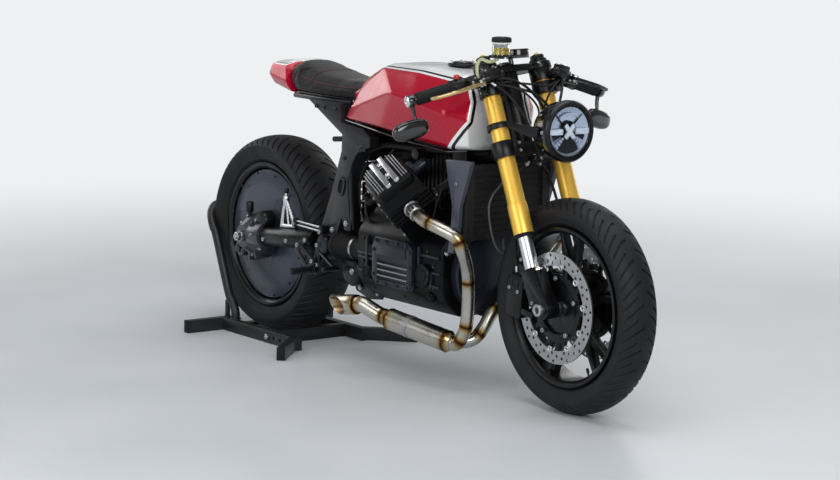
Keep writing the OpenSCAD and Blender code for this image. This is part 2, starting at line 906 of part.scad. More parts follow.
// Point on the crankcase's deck in y and z, at a distance across it from the bore
function on_deck(across) = [
    (deck - seat_gap) * sin(vee) + across * cos(vee),
    crank_z + (deck - seat_gap) * cos(vee) - across * sin(vee)];
module crankcase() {
    half = [[92, 214], [146, 262], [case_half, 292], [case_half, 412],
        on_deck(deck_half), on_deck(-deck_half)];
    box_half = plate_in - seat_gap;
    color("#24262b")
        from_front_axle() {
            bar_x(-820, -400)
                polygon(concat(half, [for (q = reversed(half)) [-q[0], q[1]]]));
            bar_x(-930, -820)
                polygon([
                    [-70, 262], [70, 262], [box_half, 300], [box_half, 430],
                    [70, 452], [-70, 452], [-box_half, 430], [-box_half, 300]]);
        }
}

// Ribbed side covers and the round front cover
module engine_covers() {
    cover_y = case_half + seat_gap;
    rib_rows = 4;
    color("#2c2f36")
        from_front_axle() {
            both_sides() {
                difference() {
                    plate_y(cover_y, cover_y + 22)
                        polygon([[-716, 388], [-700, 416], [-540, 416], [-520, 400], [-520, 292], [-536, 276],
                            [-696, 276], [-716, 296]]);
                    for (k = [0 : rib_rows - 1])
                        translate([-690, cover_y + 14, 292 + 17 * k])
                            cube([150, 20, 8]);
                }
            }
            translate([-400 + seat_gap, 0, crank_z])
                rotate([0, 90, 0])
                    cylinder(h = 34, r = 128);
        }
}

// Frame of one cylinder: z up its bore from the crankshaft, x forward along the twisted head
module at_cylinder(side) {
    translate([front_axle_x - engine_back, 0, crank_z])
        rotate([-side * vee, 0, 0])
            rotate([0, 0, side * head_twist])
                children();
}

head_base = 252;
head_front = 84;
head_half_w = 70;
cover_base = cover_reach - 46;
module cylinders() {
    fin_rows = 4;
    fin_t = 5;
    fin_pitch = (cover_base - head_base - 11) / 6;
    color("#1d1f23")
        for (side = [-1, 1])
            at_cylinder(side) {
                translate([-62, -60, deck])
                    cube([124, 120, head_base - deck]);
                translate([-78, -66, head_base - 0.5])
                    cube([156, 132, cover_base - head_base + 0.5 - seat_gap]);
                for (k = [0 : fin_rows - 1])
                    translate([-head_front, -head_half_w, head_base + 6 + fin_pitch * k])
                        cube([2 * head_front, 2 * head_half_w, fin_t]);
            }
}

cover_half_l = 78;
cover_half_w = 60;
module valve_covers() {
    color("#191b1f")
        for (side = [-1, 1])
            at_cylinder(side)
                translate([0, 0, cover_base])
                    linear_extrude(cover_reach - cover_base - 10)
                        union() {
                            translate([-cover_half_l + cover_half_w, 0])
                                circle(r = cover_half_w);
                            translate([-cover_half_l + cover_half_w, -cover_half_w])
                                square([2 * cover_half_l - cover_half_w - 4, 2 * cover_half_w]);
                        }
}

// Polished ribs along the valve covers
module valve_cover_ribs() {
    rib_top = cover_reach - 10;
    rib_h = 10;
    rows = [-46, -36, -26, 26, 36, 46];
    color("#c3c6ca")
        for (side = [-1, 1])
            at_cylinder(side) {
                for (y = [-8, 14])
                    translate([-cover_half_l + 4, y - 5, rib_top])
                        cube([2 * cover_half_l - 10, 10, rib_h]);
                for (y = rows)
                    translate([-cover_half_l + 22, y - 2, rib_top])
                        cube([64, 4, rib_h - 4]);
            }
}

// Point on a right cylinder: along its head, up its bore and towards the bike's middle
function head_point(along, up, inner = 0) = let (
    fore = along * cos(head_twist) + inner * sin(head_twist),
    aside = inner * cos(head_twist) - along * sin(head_twist))
    [-engine_back + fore, aside * cos(vee) - up * sin(vee), crank_z + aside * sin(vee) + up * cos(vee)];
module carburettors() {
    body = [-700, -62, 575];
    bowl_low = 548;
    bowl_h = 86;
    filter_at = [-760, -62, 580];
    filter_end = [-845, -62, 586];
    intake_at = -50;
    intake_up = 300;
    stub_end = head_point(intake_at, intake_up, head_half_w + 44);
    color("#2a2c30")
        from_front_axle()
            both_sides() {
                translate([body[0], body[1], bowl_low])
                    cylinder(h = bowl_h, r = 27);
                rod(head_point(intake_at, intake_up, head_half_w + seat_gap), stub_end, 17);
                rod(head_point(intake_at, intake_up, head_half_w + 40), body, 17);
                rod(body, filter_at, 20);
                rod(filter_at, filter_end, 36);
            }
}

// Cooling

radiator_half_w = 150;
radiator_low = 450;
radiator_top = 661;
radiator_x = -348;
radiator_t = 44;
module radiator() {
    tank_w = 26;
    fins = 11;
    color("#141518")
        from_front_axle() {
            translate([radiator_x, -radiator_half_w, radiator_low])
                cube([radiator_t - 8, 2 * radiator_half_w, radiator_top - radiator_low]);
            both_sides()
                translate([radiator_x, radiator_half_w - tank_w, radiator_low])
                    cube([radiator_t, tank_w, radiator_top - radiator_low]);
            for (k = [1 : fins])
                translate([radiator_x + 10, -radiator_half_w + 4,
                        radiator_low + (radiator_top - radiator_low) / (fins + 1) * k])
                    cube([radiator_t - 14, 2 * radiator_half_w - 8, 3]);
            translate([radiator_x - 36, 0, radiator_low + 112])
                rotate([0, 90, 0])
                    cylinder(h = 37, r = 86);
            translate([radiator_x + 4, -20, radiator_top - 1])
                cube([12, 40, spine_low - radiator_top + 1 - seat_gap]);
        }
}

module radiator_shrouds() {
    shroud_in = radiator_half_w + seat_gap;
    shroud_t = 16;
    color("#5c616b")
        from_front_axle()
            both_sides()
                plate_y(shroud_in, shroud_in + shroud_t)
                    polygon([
                        [-384, 676], [-268, 680], [-276, 660], [-318, 548], [-322, 486], [-356, 486],
                        [-352, 548], [-378, 640]]);
}

// Exhaust

silencer_front = [-394, -130, 146];
silencer_back = [-628, -186, 186];
silencer_run = unit(silencer_back - silencer_front);
tip_from = [-730, -218, 212];
tip_to = [-868, -224, 191];
tip_run = unit(tip_to - tip_from);
port_up = 283;
port = head_point(head_front + seat_gap, port_up);
port_mouth = head_point(head_front + 8, port_up);
header_down = [
    port_mouth, head_point(head_front + 26, port_up - 3), [-400, -226, 504], [-330, -214, 486],
    [-290, -196, 466], [-284, -178, 430], [-306, -142, 372]];
header_right_end = [
    [-322, -124, 316], [-332, -116, 250], [-340, -116, 196], [-354, -121, 162],
    silencer_front - 22 * silencer_run];
header_left_end = [
    [-330, 100, 316], [-338, 40, 270], [-338, -20, 234], [-342, -50, 190],
    [-356, -74, 156], [-374, -116, 146]];
header_right = concat(
    [port], smooth(concat(header_down, header_right_end), 3), [silencer_front - seat_gap * silencer_run]);
header_left = concat(mirror_y([port]), smooth(concat(mirror_y(header_down), header_left_end), 3));
module exhaust_headers() {
    color("#b3aa94")
        from_front_axle() {
            tube(header_right, header_r);
            tube(header_left, header_r);
        }
}

// Silencer and tail pipe, whose open end is cut on the slant
module silencer() {
    neck = 26;
    floor_t = 4;
    tail_r = header_r + 5;
    color("#b8b09c")
        from_front_axle() {
            rod(silencer_front, silencer_back, silencer_r);
            tube(smooth([silencer_back - 8 * silencer_run, silencer_back + neck * silencer_run,
                [-674, -202, 200], tip_from - 24 * tip_run, tip_from + 2 * tip_run], 4), tail_r);
            difference() {
                rod(tip_from, tip_to, tip_r);
                rod(tip_from + floor_t * tip_run, tip_to + 10 * tip_run, tip_r - tip_wall);
                translate(tip_to)
                    rotate([0, 0, 20])
                        rotate([0, -38, 0])
                            translate([-200, -100, -100])
                                cube([200, 200, 200]);
            }
        }
}

// Bodywork

// Tank sections from the back: points at the lower edge, waist, shoulder and crown
tank_sections = [
    [[-940, 126, 734], [-914, 124, 775], [-882, 96, 855], [-868, 60, 884]],
    [[-712, 168, 724], [-628, tank_half_w - 2, 848], [-765, 118, 904], [-772, 70, tank_top_z - 8]],
    [[-560, 164, 708], [-520, tank_half_w, 832], [-560, 138, 904], [-560, 84, tank_top_z]],
    [[-404, 148, 695], [-402, 166, 806], [-412, 122, 890], [-414, 76, tank_top_z - 12]],
    [[-352, 114, 699], [-352, 118, 786], [-358, 92, 866], [-366, 62, 894]],
    [[-338, 58, 716], [-338, 60, 785], [-344, 50, 852], [-354, 38, 878]]];
module fuel_tank() {
    color("#b0122a")
        from_front_axle()
            body_shell(tank_sections);
}

cap_x = -530;
module tank_cap() {
    cap_r = 44;
    color("#17181b")
        from_front_axle()
            translate([cap_x, 0, tank_top_z + seat_gap]) {
                cylinder(h = 6, r = cap_r);
                translate([0, 0, 6])
                    cylinder(h = 5, r = cap_r - 12);
            }
}

module seat_pan() {
    color("#1b1b1d")
        from_front_axle()
            translate([0, 0, pan_low])
                linear_extrude(pan_t)
                    polygon([
                        [-1272, -84], [-1230, -96], [-1040, -100], [-948, -84], [-948, 84],
                        [-1040, 100], [-1230, 96], [-1272, 84]]);
}

// Seat sections from the back: points at the lower edge, side, upper edge and crown
seat_sections = [
    [[-1268, 88, seat_z], [-1286, 98, 820], [-1314, 80, 858], [-1328, 40, 872]],
    [[-1230, 100, seat_z], [-1240, seat_half_w - 6, 825], [-1264, 88, 866], [-1275, 45, 882]],
    [[-1140, 108, seat_z], [-1140, seat_half_w, 815], [-1150, 96, 845], [-1150, 50, 853]],
    [[-1040, 104, seat_z], [-1040, seat_half_w - 4, 812], [-1040, 90, 832], [-1040, 50, 838]],
    [[-932, 84, seat_z], [-924, 90, 812], [-900, 70, 836], [-892, 40, 842]]];
module seat_pad() {
    color("#202022")
        from_front_axle()
            body_shell(seat_sections);
}

// Tail sections from the back: points at the lower edge, side, upper edge and crown
tail_sections = [
    [[-1430, 60, pan_low + 24], [-1440, 74, 832], [-1438, 66, 856], [-1436, 35, 864]],
    [[-1402, 76, pan_low + 14], [-1412, 88, 830], [-1412, 78, 868], [-1412, 40, 877]],
    [[-1272.5, 97, pan_low - 3], [-1296, 106, 818], [-1325, 88, 868], [-1339, 45, 884]]];
module tail_cowl() {
    color("#b0122a")
        from_front_axle()
            body_shell(tail_sections);
}

// Rear suspension and drive

drive_in = rear_hub_half + wheel_gap;
drive_w = 84;
neck_l = 92;
yoke_back = 72;
shaft_low = [rear_axle_x, -arm_y_right, rear_tyre_r + 2];
shaft_high = [front_axle_x - pivot_back - yoke_back + 8, -arm_y_right, pivot_z + 4];
shaft_run = unit(shaft_high - shaft_low);
module swingarm() {
    pivot_tube_r = 26;
    pivot_half = plate_in - seat_gap;
    yoke_x = -pivot_back - yoke_back;
    lug_top = 414;
    color("#25272c")
        difference() {
            union() {
                from_front_axle() {
                    pin_y(pivot[0], pivot[1], -pivot_half, pivot_half, pivot_tube_r);
                    pin_y(yoke_x, pivot_z + 4, -arm_y_right + 10, arm_y_left - 6, 24);
                    for (y = [-50, 50])
                        rod([pivot[0], y, pivot_z], [yoke_x, y, pivot_z + 4], 22);
                    for (side = [-1, 1])
                        plate_y(side * 26 - 4, side * 26 + 4)
                            polygon([[yoke_x - 14, pivot_z + 8], [yoke_x + 30, pivot_z + 8],
                                [yoke_x + 30, lug_top], [yoke_x + 4, lug_top]]);
                    both_sides()
                        pin_y(pivot[0], pivot[1], pivot_half - 1, plate_in + plate_t + 8, 12);
                }
                rod(shaft_low + (neck_l + seat_gap) * shaft_run, shaft_high, shaft_tube_r);
                rod([shaft_high[0], arm_y_left, pivot_z + 4], [rear_axle_x, arm_y_left, rear_tyre_r], arm_r);
                pin_y(rear_axle_x, rear_tyre_r, arm_y_left - arm_r, arm_y_left + arm_r, 30);
            }
            pin_y(rear_axle_x, rear_tyre_r, 0, arm_y_left + arm_r + 5, rear_axle_r + seat_gap);
        }
}

// Bevel drive housing with cooling ribs, on the right of the rear wheel
module final_drive() {
    dome_r = 74;
    neck_r = 40;
    ribs = 5;
    rib_w = 58;
    color("#2b2d33")
        difference() {
            union() {
                mirror([0, 1, 0])
                    turned_y(rear_axle_x, rear_tyre_r)
                        polygon([
                            [0, drive_in], [dome_r, drive_in], [dome_r, drive_in + 26],
                            [dome_r - 8, drive_in + 48],
                            [dome_r - 30, drive_in + drive_w - 10], [dome_r - 38, drive_in + drive_w],
                            [0, drive_in + drive_w]]);
                rod(shaft_low + 30 * shaft_run, shaft_low + neck_l * shaft_run, neck_r);
                for (k = [0 : ribs - 1])
                    translate([rear_axle_x, 0, rear_tyre_r])
                        rotate([0, 60 + 30 * k, 0])
                            translate([dome_r - 40, -drive_in - rib_w, -4])
                                cube([45, rib_w - 5, 8]);
                pin_y(rear_axle_x - 46, rear_tyre_r - 46, -drive_in - 62, -drive_in - 12, 24);
            }
            pin_y(rear_axle_x, rear_tyre_r, -drive_in - drive_w - 5, 0, rear_axle_r + seat_gap);
        }
}

module rear_axle() {
    nut_r = 17;
    right_end = drive_in + drive_w;
    left_end = arm_y_left + arm_r;
    color("#9a9da2") {
        pin_y(rear_axle_x, rear_tyre_r, -right_end - 14, left_end + 14, rear_axle_r);
        pin_y(rear_axle_x, rear_tyre_r, -right_end - 12, -right_end - seat_gap, nut_r);
        pin_y(rear_axle_x, rear_tyre_r, left_end + seat_gap, left_end + 12, nut_r);
        pin_y(rear_axle_x, rear_tyre_r, rear_hub_half + seat_gap, arm_y_left - arm_r - seat_gap, nut_r);
    }
}

// Shock absorber with its coil spring, from the swingarm up to the seat rails
module rear_shock() {
    low = [-pivot_back - 54, 0, 398];
    high = [shock_top_x, 0, 704];
    run = unit(high - low);
    turns = 6;
    steps = 10;
    coil_r = 27;
    coil = [for (i = [0 : turns * steps])
        low + run * (70 + 130 * i / (turns * steps))
        + coil_r * (cos(360 * i / steps) * [1, 0, 0] + sin(360 * i / steps) * [0, 1, 0])];
    color("#c79a2e")
        from_front_axle() {
            rod(low, low + 72 * run, 12);
            rod(low + 66 * run, low + 204 * run, 14);
            rod(low + 58 * run, low + 68 * run, 34);
            rod(low + 202 * run, low + 250 * run, 32);
            rod(low + 250 * run, high, 14);
            tube(coil, 5, 6);
            pin_y(low[0], low[2], -22 + seat_gap, 22 - seat_gap, 15);
            pin_y(high[0], high[2], -22 + seat_gap, 22 - seat_gap, 15);
        }
}

// Footrests, with their hangers on the side plates
module rearsets() {
    hanger_in = plate_in + plate_t + seat_gap;
    peg_x = -1070;
    peg_z = 262;
    color("#1f2125")
        from_front_axle()
            both_sides() {
                difference() {
                    plate_y(hanger_in, hanger_in + 9)
                        polygon([[-1000, 372], [-1038, 372], [-1086, 282], [-1086, 246],
                            [-1056, 246], [-1048, 276], [-1004, 330]]);
                    pin_y(pivot[0], pivot[1], hanger_in - 1, hanger_in + 10, 14);
                }
                pin_y(peg_x, peg_z, hanger_in + 5, hanger_in + 96, 11);
                rod([-1030, hanger_in + 15, 318], [-944, hanger_in + 19, 282], 6);
                pin_y(-946, 283, hanger_in + 8, hanger_in + 62, 8);
            }
}

// Forked brake arm standing on the drive shaft's tube
module brake_arm() {
    arm_t = 12;
    arm_x = 176;
    arm_h = 108;
    foot_w = 84;
    bar_w = 15;
    foot_h = 14;
    window_end = foot_w - bar_w - 6;
    slope = shaft_run[2] / shaft_run[0];
    foot_z = shaft_low[2] + arm_x * slope + shaft_tube_r / shaft_run[0] + seat_gap;
    color("#b9bcc0")
        from_rear_axle()
            plate_y(-arm_y_right - arm_t / 2, -arm_y_right + arm_t / 2)
                translate([arm_x, foot_z])
                    difference() {
                        polygon([
                            [0, 0], [foot_w, foot_w * slope], [foot_w, foot_w * slope + foot_h],
                            [38, arm_h], [14, arm_h], [0, 14]]);
                        polygon([[bar_w, bar_w * slope + foot_h], [window_end, window_end * slope + foot_h],
                            [29, arm_h - 26], [23, arm_h - 26]]);
                    }
}

// Floor stand

rail_back = -108;
rail_front = 336;
function bend(a, b, c, n) = [for (i = [0 : n]) let (u = i / n)
    (1 - u) * (1 - u) * a + 2 * u * (1 - u) * b + u * u * c];
hoop_foot_x = -44;
hoop_foot_z = stand_h + seat_gap;
hoop_right_y = -right_rail_y + 10;
// Half of the hoop's route, from the foot of one leg to the bar behind the tyre
function hoop_leg(foot_y, lean_y) = concat(
    [[hoop_foot_x, foot_y, hoop_foot_z]],
    bend([hoop_foot_x, foot_y, hoop_foot_z + 14], [hoop_foot_x, foot_y, hoop_foot_z + 36],
        [hoop_foot_x - 44, foot_y, hoop_foot_z + 84], 4),
    bend([hoop_x + 84, lean_y, hoop_z - 90], [hoop_x, lean_y * 0.94, hoop_z],
        [hoop_x, lean_y * 0.34, hoop_z], 9));
module stand() {
    foot_reach = 140;
    splay = 46;
    strap_t = 8;
    strap_w = 32;
    strap_lift = 2;
    hole_r = 5;
    hole_rows = [214, 250];
    brace_x = 185;
    strut_x = rail_back + 16;
    strut_top = 94;
    strut_r = 8;
    color("#17181b")
        from_rear_axle() {
            difference() {
                union() {
                    linear_extrude(stand_h) {
                        translate([rail_back, -right_rail_y - stand_w / 2])
                            square([rail_front - rail_back, stand_w]);
                        translate([rail_back, left_rail_y - stand_w / 2])
                            square([rail_front - rail_back - 30, stand_w]);
                        translate([rail_back, -right_rail_y - foot_reach])
                            square([stand_w, foot_reach]);
                        translate([rail_back, left_rail_y])
                            square([stand_w, foot_reach]);
                        translate([rail_front - 18, -right_rail_y + 8])
                            rotate(-splay)
                                translate([0, -stand_w])
                                    square([foot_reach + 40, stand_w]);
                        translate([rail_front - 48, left_rail_y - 8])
                            rotate(splay)
                                square([foot_reach + 40, stand_w]);
                        translate([brace_x, -right_rail_y])
                            square([stand_w, right_rail_y + left_rail_y]);
                    }
                    translate([rail_back - 20, -right_rail_y, strap_lift])
                        cube([strap_w, right_rail_y + left_rail_y, strap_t]);
                }
                for (x = hole_rows)
                    pin_y(x, stand_h / 2, -right_rail_y - stand_w, -right_rail_y + stand_w, hole_r);
            }
            tube(concat(hoop_leg(hoop_right_y, -104), reversed(hoop_leg(left_rail_y, 104))), hoop_r, 16);
            for (y = [hoop_right_y, left_rail_y])
                translate([strut_x, y, hoop_foot_z])
                    cylinder(h = strut_top - hoop_foot_z, r = strut_r);
        }
}

front_tyre();
front_rim();
front_discs();
disc_carriers();
rear_tyre();
rear_rim();
rear_covers();
front_axle();
fork_feet();
fork_sliders();
fork_tubes();
brake_calipers();
bottom_clamp();
top_clamp();
headlamp_shell();
headlamp_lens();
headlamp_bracket();
handlebars();
grips();
controls();
levers();
brake_reservoir();
mirrors();
gauge();
brake_hoses();
frame_spine();
frame_plates();
subframe();
crankcase();
engine_covers();
cylinders();
valve_covers();
valve_cover_ribs();
carburettors();
radiator();
radiator_shrouds();
exhaust_headers();
silencer();
fuel_tank();
tank_cap();
seat_pan();
seat_pad();
tail_cowl();
swingarm();
final_drive();
rear_axle();
rear_shock();
rearsets();
brake_arm();
stand();
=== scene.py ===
# %% [markdown]
# # Cafe racer on its rear-wheel stand
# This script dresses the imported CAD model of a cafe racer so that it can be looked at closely: treaded tyres,
# drilled brake discs, a painted tank, a stuffed seat and all the small screws and hoses.
# Every piece stays where the CAD model puts it and moves with one of its four bodies: the two wheels, the
# steering and the chassis. Lengths are written in millimetres, because that is how the motorcycle is measured.

# %% Load the frame
import json
import math

import bmesh
import bpy
from mathutils import Matrix, Vector
from mathutils.bvhtree import BVHTree
from mathutils.kdtree import KDTree

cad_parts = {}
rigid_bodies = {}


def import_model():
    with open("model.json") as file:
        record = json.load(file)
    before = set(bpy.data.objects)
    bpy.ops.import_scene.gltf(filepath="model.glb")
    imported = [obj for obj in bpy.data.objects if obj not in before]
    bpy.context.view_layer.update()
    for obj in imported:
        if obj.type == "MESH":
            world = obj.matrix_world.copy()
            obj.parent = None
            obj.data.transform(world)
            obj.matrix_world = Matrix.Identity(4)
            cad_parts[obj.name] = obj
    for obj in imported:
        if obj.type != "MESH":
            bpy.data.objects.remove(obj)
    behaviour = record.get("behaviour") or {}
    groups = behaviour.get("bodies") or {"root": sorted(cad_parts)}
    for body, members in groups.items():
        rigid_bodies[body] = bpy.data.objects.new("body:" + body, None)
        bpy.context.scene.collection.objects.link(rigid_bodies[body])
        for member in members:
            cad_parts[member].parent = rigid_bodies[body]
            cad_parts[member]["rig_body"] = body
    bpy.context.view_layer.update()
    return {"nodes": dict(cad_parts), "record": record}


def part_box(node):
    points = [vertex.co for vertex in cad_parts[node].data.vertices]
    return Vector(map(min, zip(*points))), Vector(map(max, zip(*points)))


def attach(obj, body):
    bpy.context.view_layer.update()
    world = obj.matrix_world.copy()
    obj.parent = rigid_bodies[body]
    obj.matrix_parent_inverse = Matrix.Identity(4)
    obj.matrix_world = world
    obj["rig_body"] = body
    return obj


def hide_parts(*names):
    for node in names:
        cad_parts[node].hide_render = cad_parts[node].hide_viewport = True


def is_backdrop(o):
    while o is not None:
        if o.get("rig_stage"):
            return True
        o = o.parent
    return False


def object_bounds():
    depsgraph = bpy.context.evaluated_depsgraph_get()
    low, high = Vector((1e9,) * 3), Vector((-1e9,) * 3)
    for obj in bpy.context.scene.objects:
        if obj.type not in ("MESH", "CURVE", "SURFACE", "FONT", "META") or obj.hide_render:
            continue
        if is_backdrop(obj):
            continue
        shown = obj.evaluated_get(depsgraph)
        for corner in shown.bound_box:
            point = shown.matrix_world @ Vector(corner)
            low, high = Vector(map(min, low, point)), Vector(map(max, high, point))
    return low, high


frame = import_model()

# %% [markdown]
# ## Places
# Most parts are easiest to describe from a place on the machine: the front axle, the tilted steering frame, one
# handlebar or one cylinder. Each place is a matrix that turns millimetres there into metres in the shared frame.

# %% Places on the machine
MM = 0.001
SIDES = (-1, 1)


def centre(node):
    low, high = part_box(node)
    return (low + high) / 2


def turn(axis, degrees):
    return Matrix.Rotation(math.radians(degrees), 4, axis)


def shift(x, y, z):
    return Matrix.Translation((x, y, z))


def in_mm(point):
    return Matrix.Translation(point) @ Matrix.Scale(MM, 4)


FRONT_HUB, REAR_HUB = centre("front_tyre"), centre("rear_tyre")
FRONT_WHEEL, REAR_WHEEL = in_mm(FRONT_HUB), in_mm(REAR_HUB)
FRONT = in_mm(Vector((FRONT_HUB.x, 0, 0)))
REAR = in_mm(Vector((REAR_HUB.x, 0, 0)))
# Pieces whose points are already in metres sit at this place
METRES = Matrix.Identity(4)
RAKE, STEER_LEAD = 23.2, 58
STEER = FRONT_WHEEL @ turn("Y", -RAKE) @ shift(-STEER_LEAD, 0, 0)
LEG_X, LEG_Y = 32, 97
BAR_X, BAR_Z, BAR_SWEEP, BAR_DROOP = 58.5, 674.7, 103, 15
CRANK_X, CRANK_Z, VEE, HEAD_TWIST = -556, 340, 42, 22


def bar_place(side):
    """The middle of one clip-on bar, with x along it."""
    clamp = STEER @ shift(BAR_X, side * LEG_Y, BAR_Z)
    return clamp @ turn("Y", RAKE) @ turn("Z", side * BAR_SWEEP) @ turn("Y", BAR_DROOP)


def cylinder_place(side):
    """The foot of one cylinder, with z along its bore."""
    return FRONT @ shift(CRANK_X, 0, CRANK_Z) @ turn("X", -side * VEE) @ turn("Z", side * HEAD_TWIST)


print("front hub", tuple(round(v, 3) for v in FRONT_HUB), "rear hub", tuple(round(v, 3) for v in REAR_HUB))

# %% [markdown]
# ## Materials
# Each material is named for the real thing. A fine noise breaks up colour, gloss and height a little, since a
# surface of one even value looks like plastic from a mould. Sizes of patterns are real sizes on the machine.

# %% Material helpers
def linear(code):
    """A colour written as an sRGB hex code, as the linear values that shaders take."""
    parts = [int(code[i:i + 2], 16) / 255 for i in (1, 3, 5)]
    return tuple(c / 12.92 if c <= 0.04045 else ((c + 0.055) / 1.055) ** 2.4 for c in parts) + (1.0,)


def put(tree, kind, values=None, links=None, **settings):
    """Adds a node, with input values, links from other nodes and settings."""
    made = tree.nodes.new(kind)
    for key, value in settings.items():
        setattr(made, key, value)
    for key, value in (values or {}).items():
        made.inputs[key].default_value = value
    for key, source in (links or {}).items():
        tree.links.new(source, made.inputs[key])
    return made


def parts_of(made):
    """The tree and the shader of a material."""
    return made.node_tree, made.node_tree.nodes["Principled BSDF"]


def finish(name, colour, rough, metal=0.0, coat=0.0, grain=2.0, mottle=0.12, relief=0.02, stretch=(1, 1, 1),
           shine=0.5):
    """A surface with a fine grain: its size in mm, how far it shifts the colour, and its height in mm."""
    made = bpy.data.materials.new(name)
    made.use_nodes = True
    tree, shader = parts_of(made)
    for key, value in (("Metallic", metal), ("Coat Weight", coat), ("Specular IOR Level", shine),
                       ("Coat Roughness", 0.06)):
        shader.inputs[key].default_value = value
    where = put(tree, "ShaderNodeTexCoord")
    spread = put(tree, "ShaderNodeVectorMath", {1: stretch}, {0: where.outputs["Object"]}, operation="MULTIPLY")
    fine = put(tree, "ShaderNodeTexNoise", {"Scale": 1 / (grain * MM), "Detail": 4.0}, {"Vector": spread.outputs[0]})
    broad = put(tree, "ShaderNodeTexNoise", {"Scale": 14.0, "Detail": 3.0}, {"Vector": where.outputs["Object"]})
    level = put(tree, "ShaderNodeMapRange", {"From Min": 0.3, "From Max": 0.7, "To Min": 1 - mottle,
                                             "To Max": 1 + mottle}, {"Value": fine.outputs[0]})
    tint = put(tree, "ShaderNodeVectorMath", {0: linear(colour)[:3]}, {"Scale": level.outputs[0]}, operation="SCALE")
    gloss = put(tree, "ShaderNodeMapRange", {"From Min": 0.3, "From Max": 0.7, "To Min": max(rough - 0.07, 0.02),
                                             "To Max": min(rough + 0.09, 1)}, {"Value": broad.outputs[0]})
    bump = put(tree, "ShaderNodeBump", {"Strength": 0.6, "Distance": relief * MM}, {"Height": fine.outputs[0]})
    tree.links.new(tint.outputs[0], shader.inputs["Base Color"])
    tree.links.new(gloss.outputs[0], shader.inputs["Roughness"])
    tree.links.new(bump.outputs[0], shader.inputs["Normal"])
    return made

# %% Plain finishes
# Rubber: dark, dull, slightly dusty.
RUBBER = finish("tyre_rubber", "#121418", 0.6, grain=1.2, mottle=0.18, relief=0.05, shine=0.35)
SOFT_RUBBER = finish("grip_rubber", "#0f0f11", 0.68, grain=1.6, mottle=0.2, relief=0.12, shine=0.3)
HOSE = finish("hose_rubber", "#0a0a0c", 0.5, grain=1.0, mottle=0.15, relief=0.03, shine=0.3)
# Powder coat: black with an orange-peel skin that softens the highlights.
WHEEL_BLACK = finish("wheel_powder_coat", "#0a0b0d", 0.3, coat=0.15, grain=1.1, relief=0.03, shine=0.3)
FRAME_GREY = finish("frame_powder_coat", "#1b1d22", 0.34, coat=0.1, grain=1.1, mottle=0.08, relief=0.03, shine=0.35)
STAND_BLACK = finish("stand_powder_coat", "#0f1012", 0.45, coat=0.1, grain=1.3, relief=0.05)
SATIN_BLACK = finish("black_anodised", "#0b0c0e", 0.3, metal=0.1, grain=0.8, relief=0.01, shine=0.35)
GLOSS_BLACK = finish("black_gloss_paint", "#08090b", 0.14, coat=0.8, grain=2.5, mottle=0.05, relief=0.004)
PLASTIC = finish("black_moulded_plastic", "#0b0c0e", 0.46, grain=0.7, relief=0.03, shine=0.3)
# Cast engine metal painted black, with the grain of the sand mould under the paint.
ENGINE_BLACK = finish("engine_black_casting", "#07080a", 0.34, grain=1.4, mottle=0.18, relief=0.08, shine=0.14)
ENGINE_GREY = finish("engine_grey_casting", "#242934", 0.28, metal=0.3, grain=1.2, relief=0.05, shine=0.4)
SHROUD_GREY = finish("shroud_grey_paint", "#434956", 0.4, coat=0.2, grain=1.0, mottle=0.06, relief=0.02)
# Bare metals: aluminium, steel, chrome and brass-coloured anodising.
DARK_ZINC = finish("dark_zinc_screws", "#4c4f55", 0.36, metal=0.9, grain=0.8, mottle=0.08, relief=0.008)
STEEL = finish("bright_steel", "#b7b9bb", 0.3, metal=1.0, grain=0.8, mottle=0.08, relief=0.008)
POLISHED = finish("polished_aluminium", "#d3d5d8", 0.2, metal=1.0, grain=0.6, mottle=0.05, relief=0.005)
ALLOY = finish("raw_aluminium", "#a7a9ac", 0.4, metal=1.0, grain=1.0, mottle=0.1, relief=0.02)
CHROME = finish("hard_chrome", "#d3d7dd", 0.27, metal=1.0, grain=0.9, mottle=0.03, relief=0.002)
GOLD = finish("gold_anodised_tube", "#f4c452", 0.33, metal=0.55, coat=0.2, grain=0.7, mottle=0.05, relief=0.006,
              stretch=(3, 3, 0.12))
BRONZE = finish("bronze_anodised", "#c2a878", 0.28, metal=0.9, grain=0.7, mottle=0.05, relief=0.006)
RED_PLASTIC = finish("red_button_plastic", "#c4252a", 0.35, coat=0.3, grain=1.5, mottle=0.04, relief=0.01)
YELLOW_ZINC = finish("yellow_zinc", "#c9b56a", 0.35, metal=0.8, grain=0.7, mottle=0.1, relief=0.01)
THREAD_RED = finish("red_thread", "#8e1626", 0.7, grain=0.5, mottle=0.2, relief=0.02)
print("finishes", len(bpy.data.materials))

# %% [markdown]
# ## Tools for shaping
# Four ways of making a mesh cover nearly all of the machine: a skin over rings of points, a lathe, a tube along
# a smooth path, and a copy of a CAD part whose sharp edges get the small rounding that real edges have.
# The rounding matters more than it seems: without it no edge catches the light.

# %% Mesh tools
def in_scene(name, mesh):
    made = bpy.data.objects.new(name, mesh)
    bpy.context.scene.collection.objects.link(made)
    return made


def face_out(mesh):
    """Turns all faces of a mesh outward."""
    work = bmesh.new()
    work.from_mesh(mesh)
    bmesh.ops.recalc_face_normals(work, faces=work.faces)
    work.to_mesh(mesh)
    work.free()


def bake(made):
    """Turns the modifiers of a piece into plain mesh."""
    plain = bpy.data.meshes.new_from_object(made.evaluated_get(bpy.context.evaluated_depsgraph_get()))
    made.modifiers.clear()
    made.data = plain
    return plain


def store(made, name, values):
    """Keeps one value for each point of a piece, for its material to read."""
    made.data.attributes.new(name, "FLOAT", "POINT").data.foreach_set("value", values)


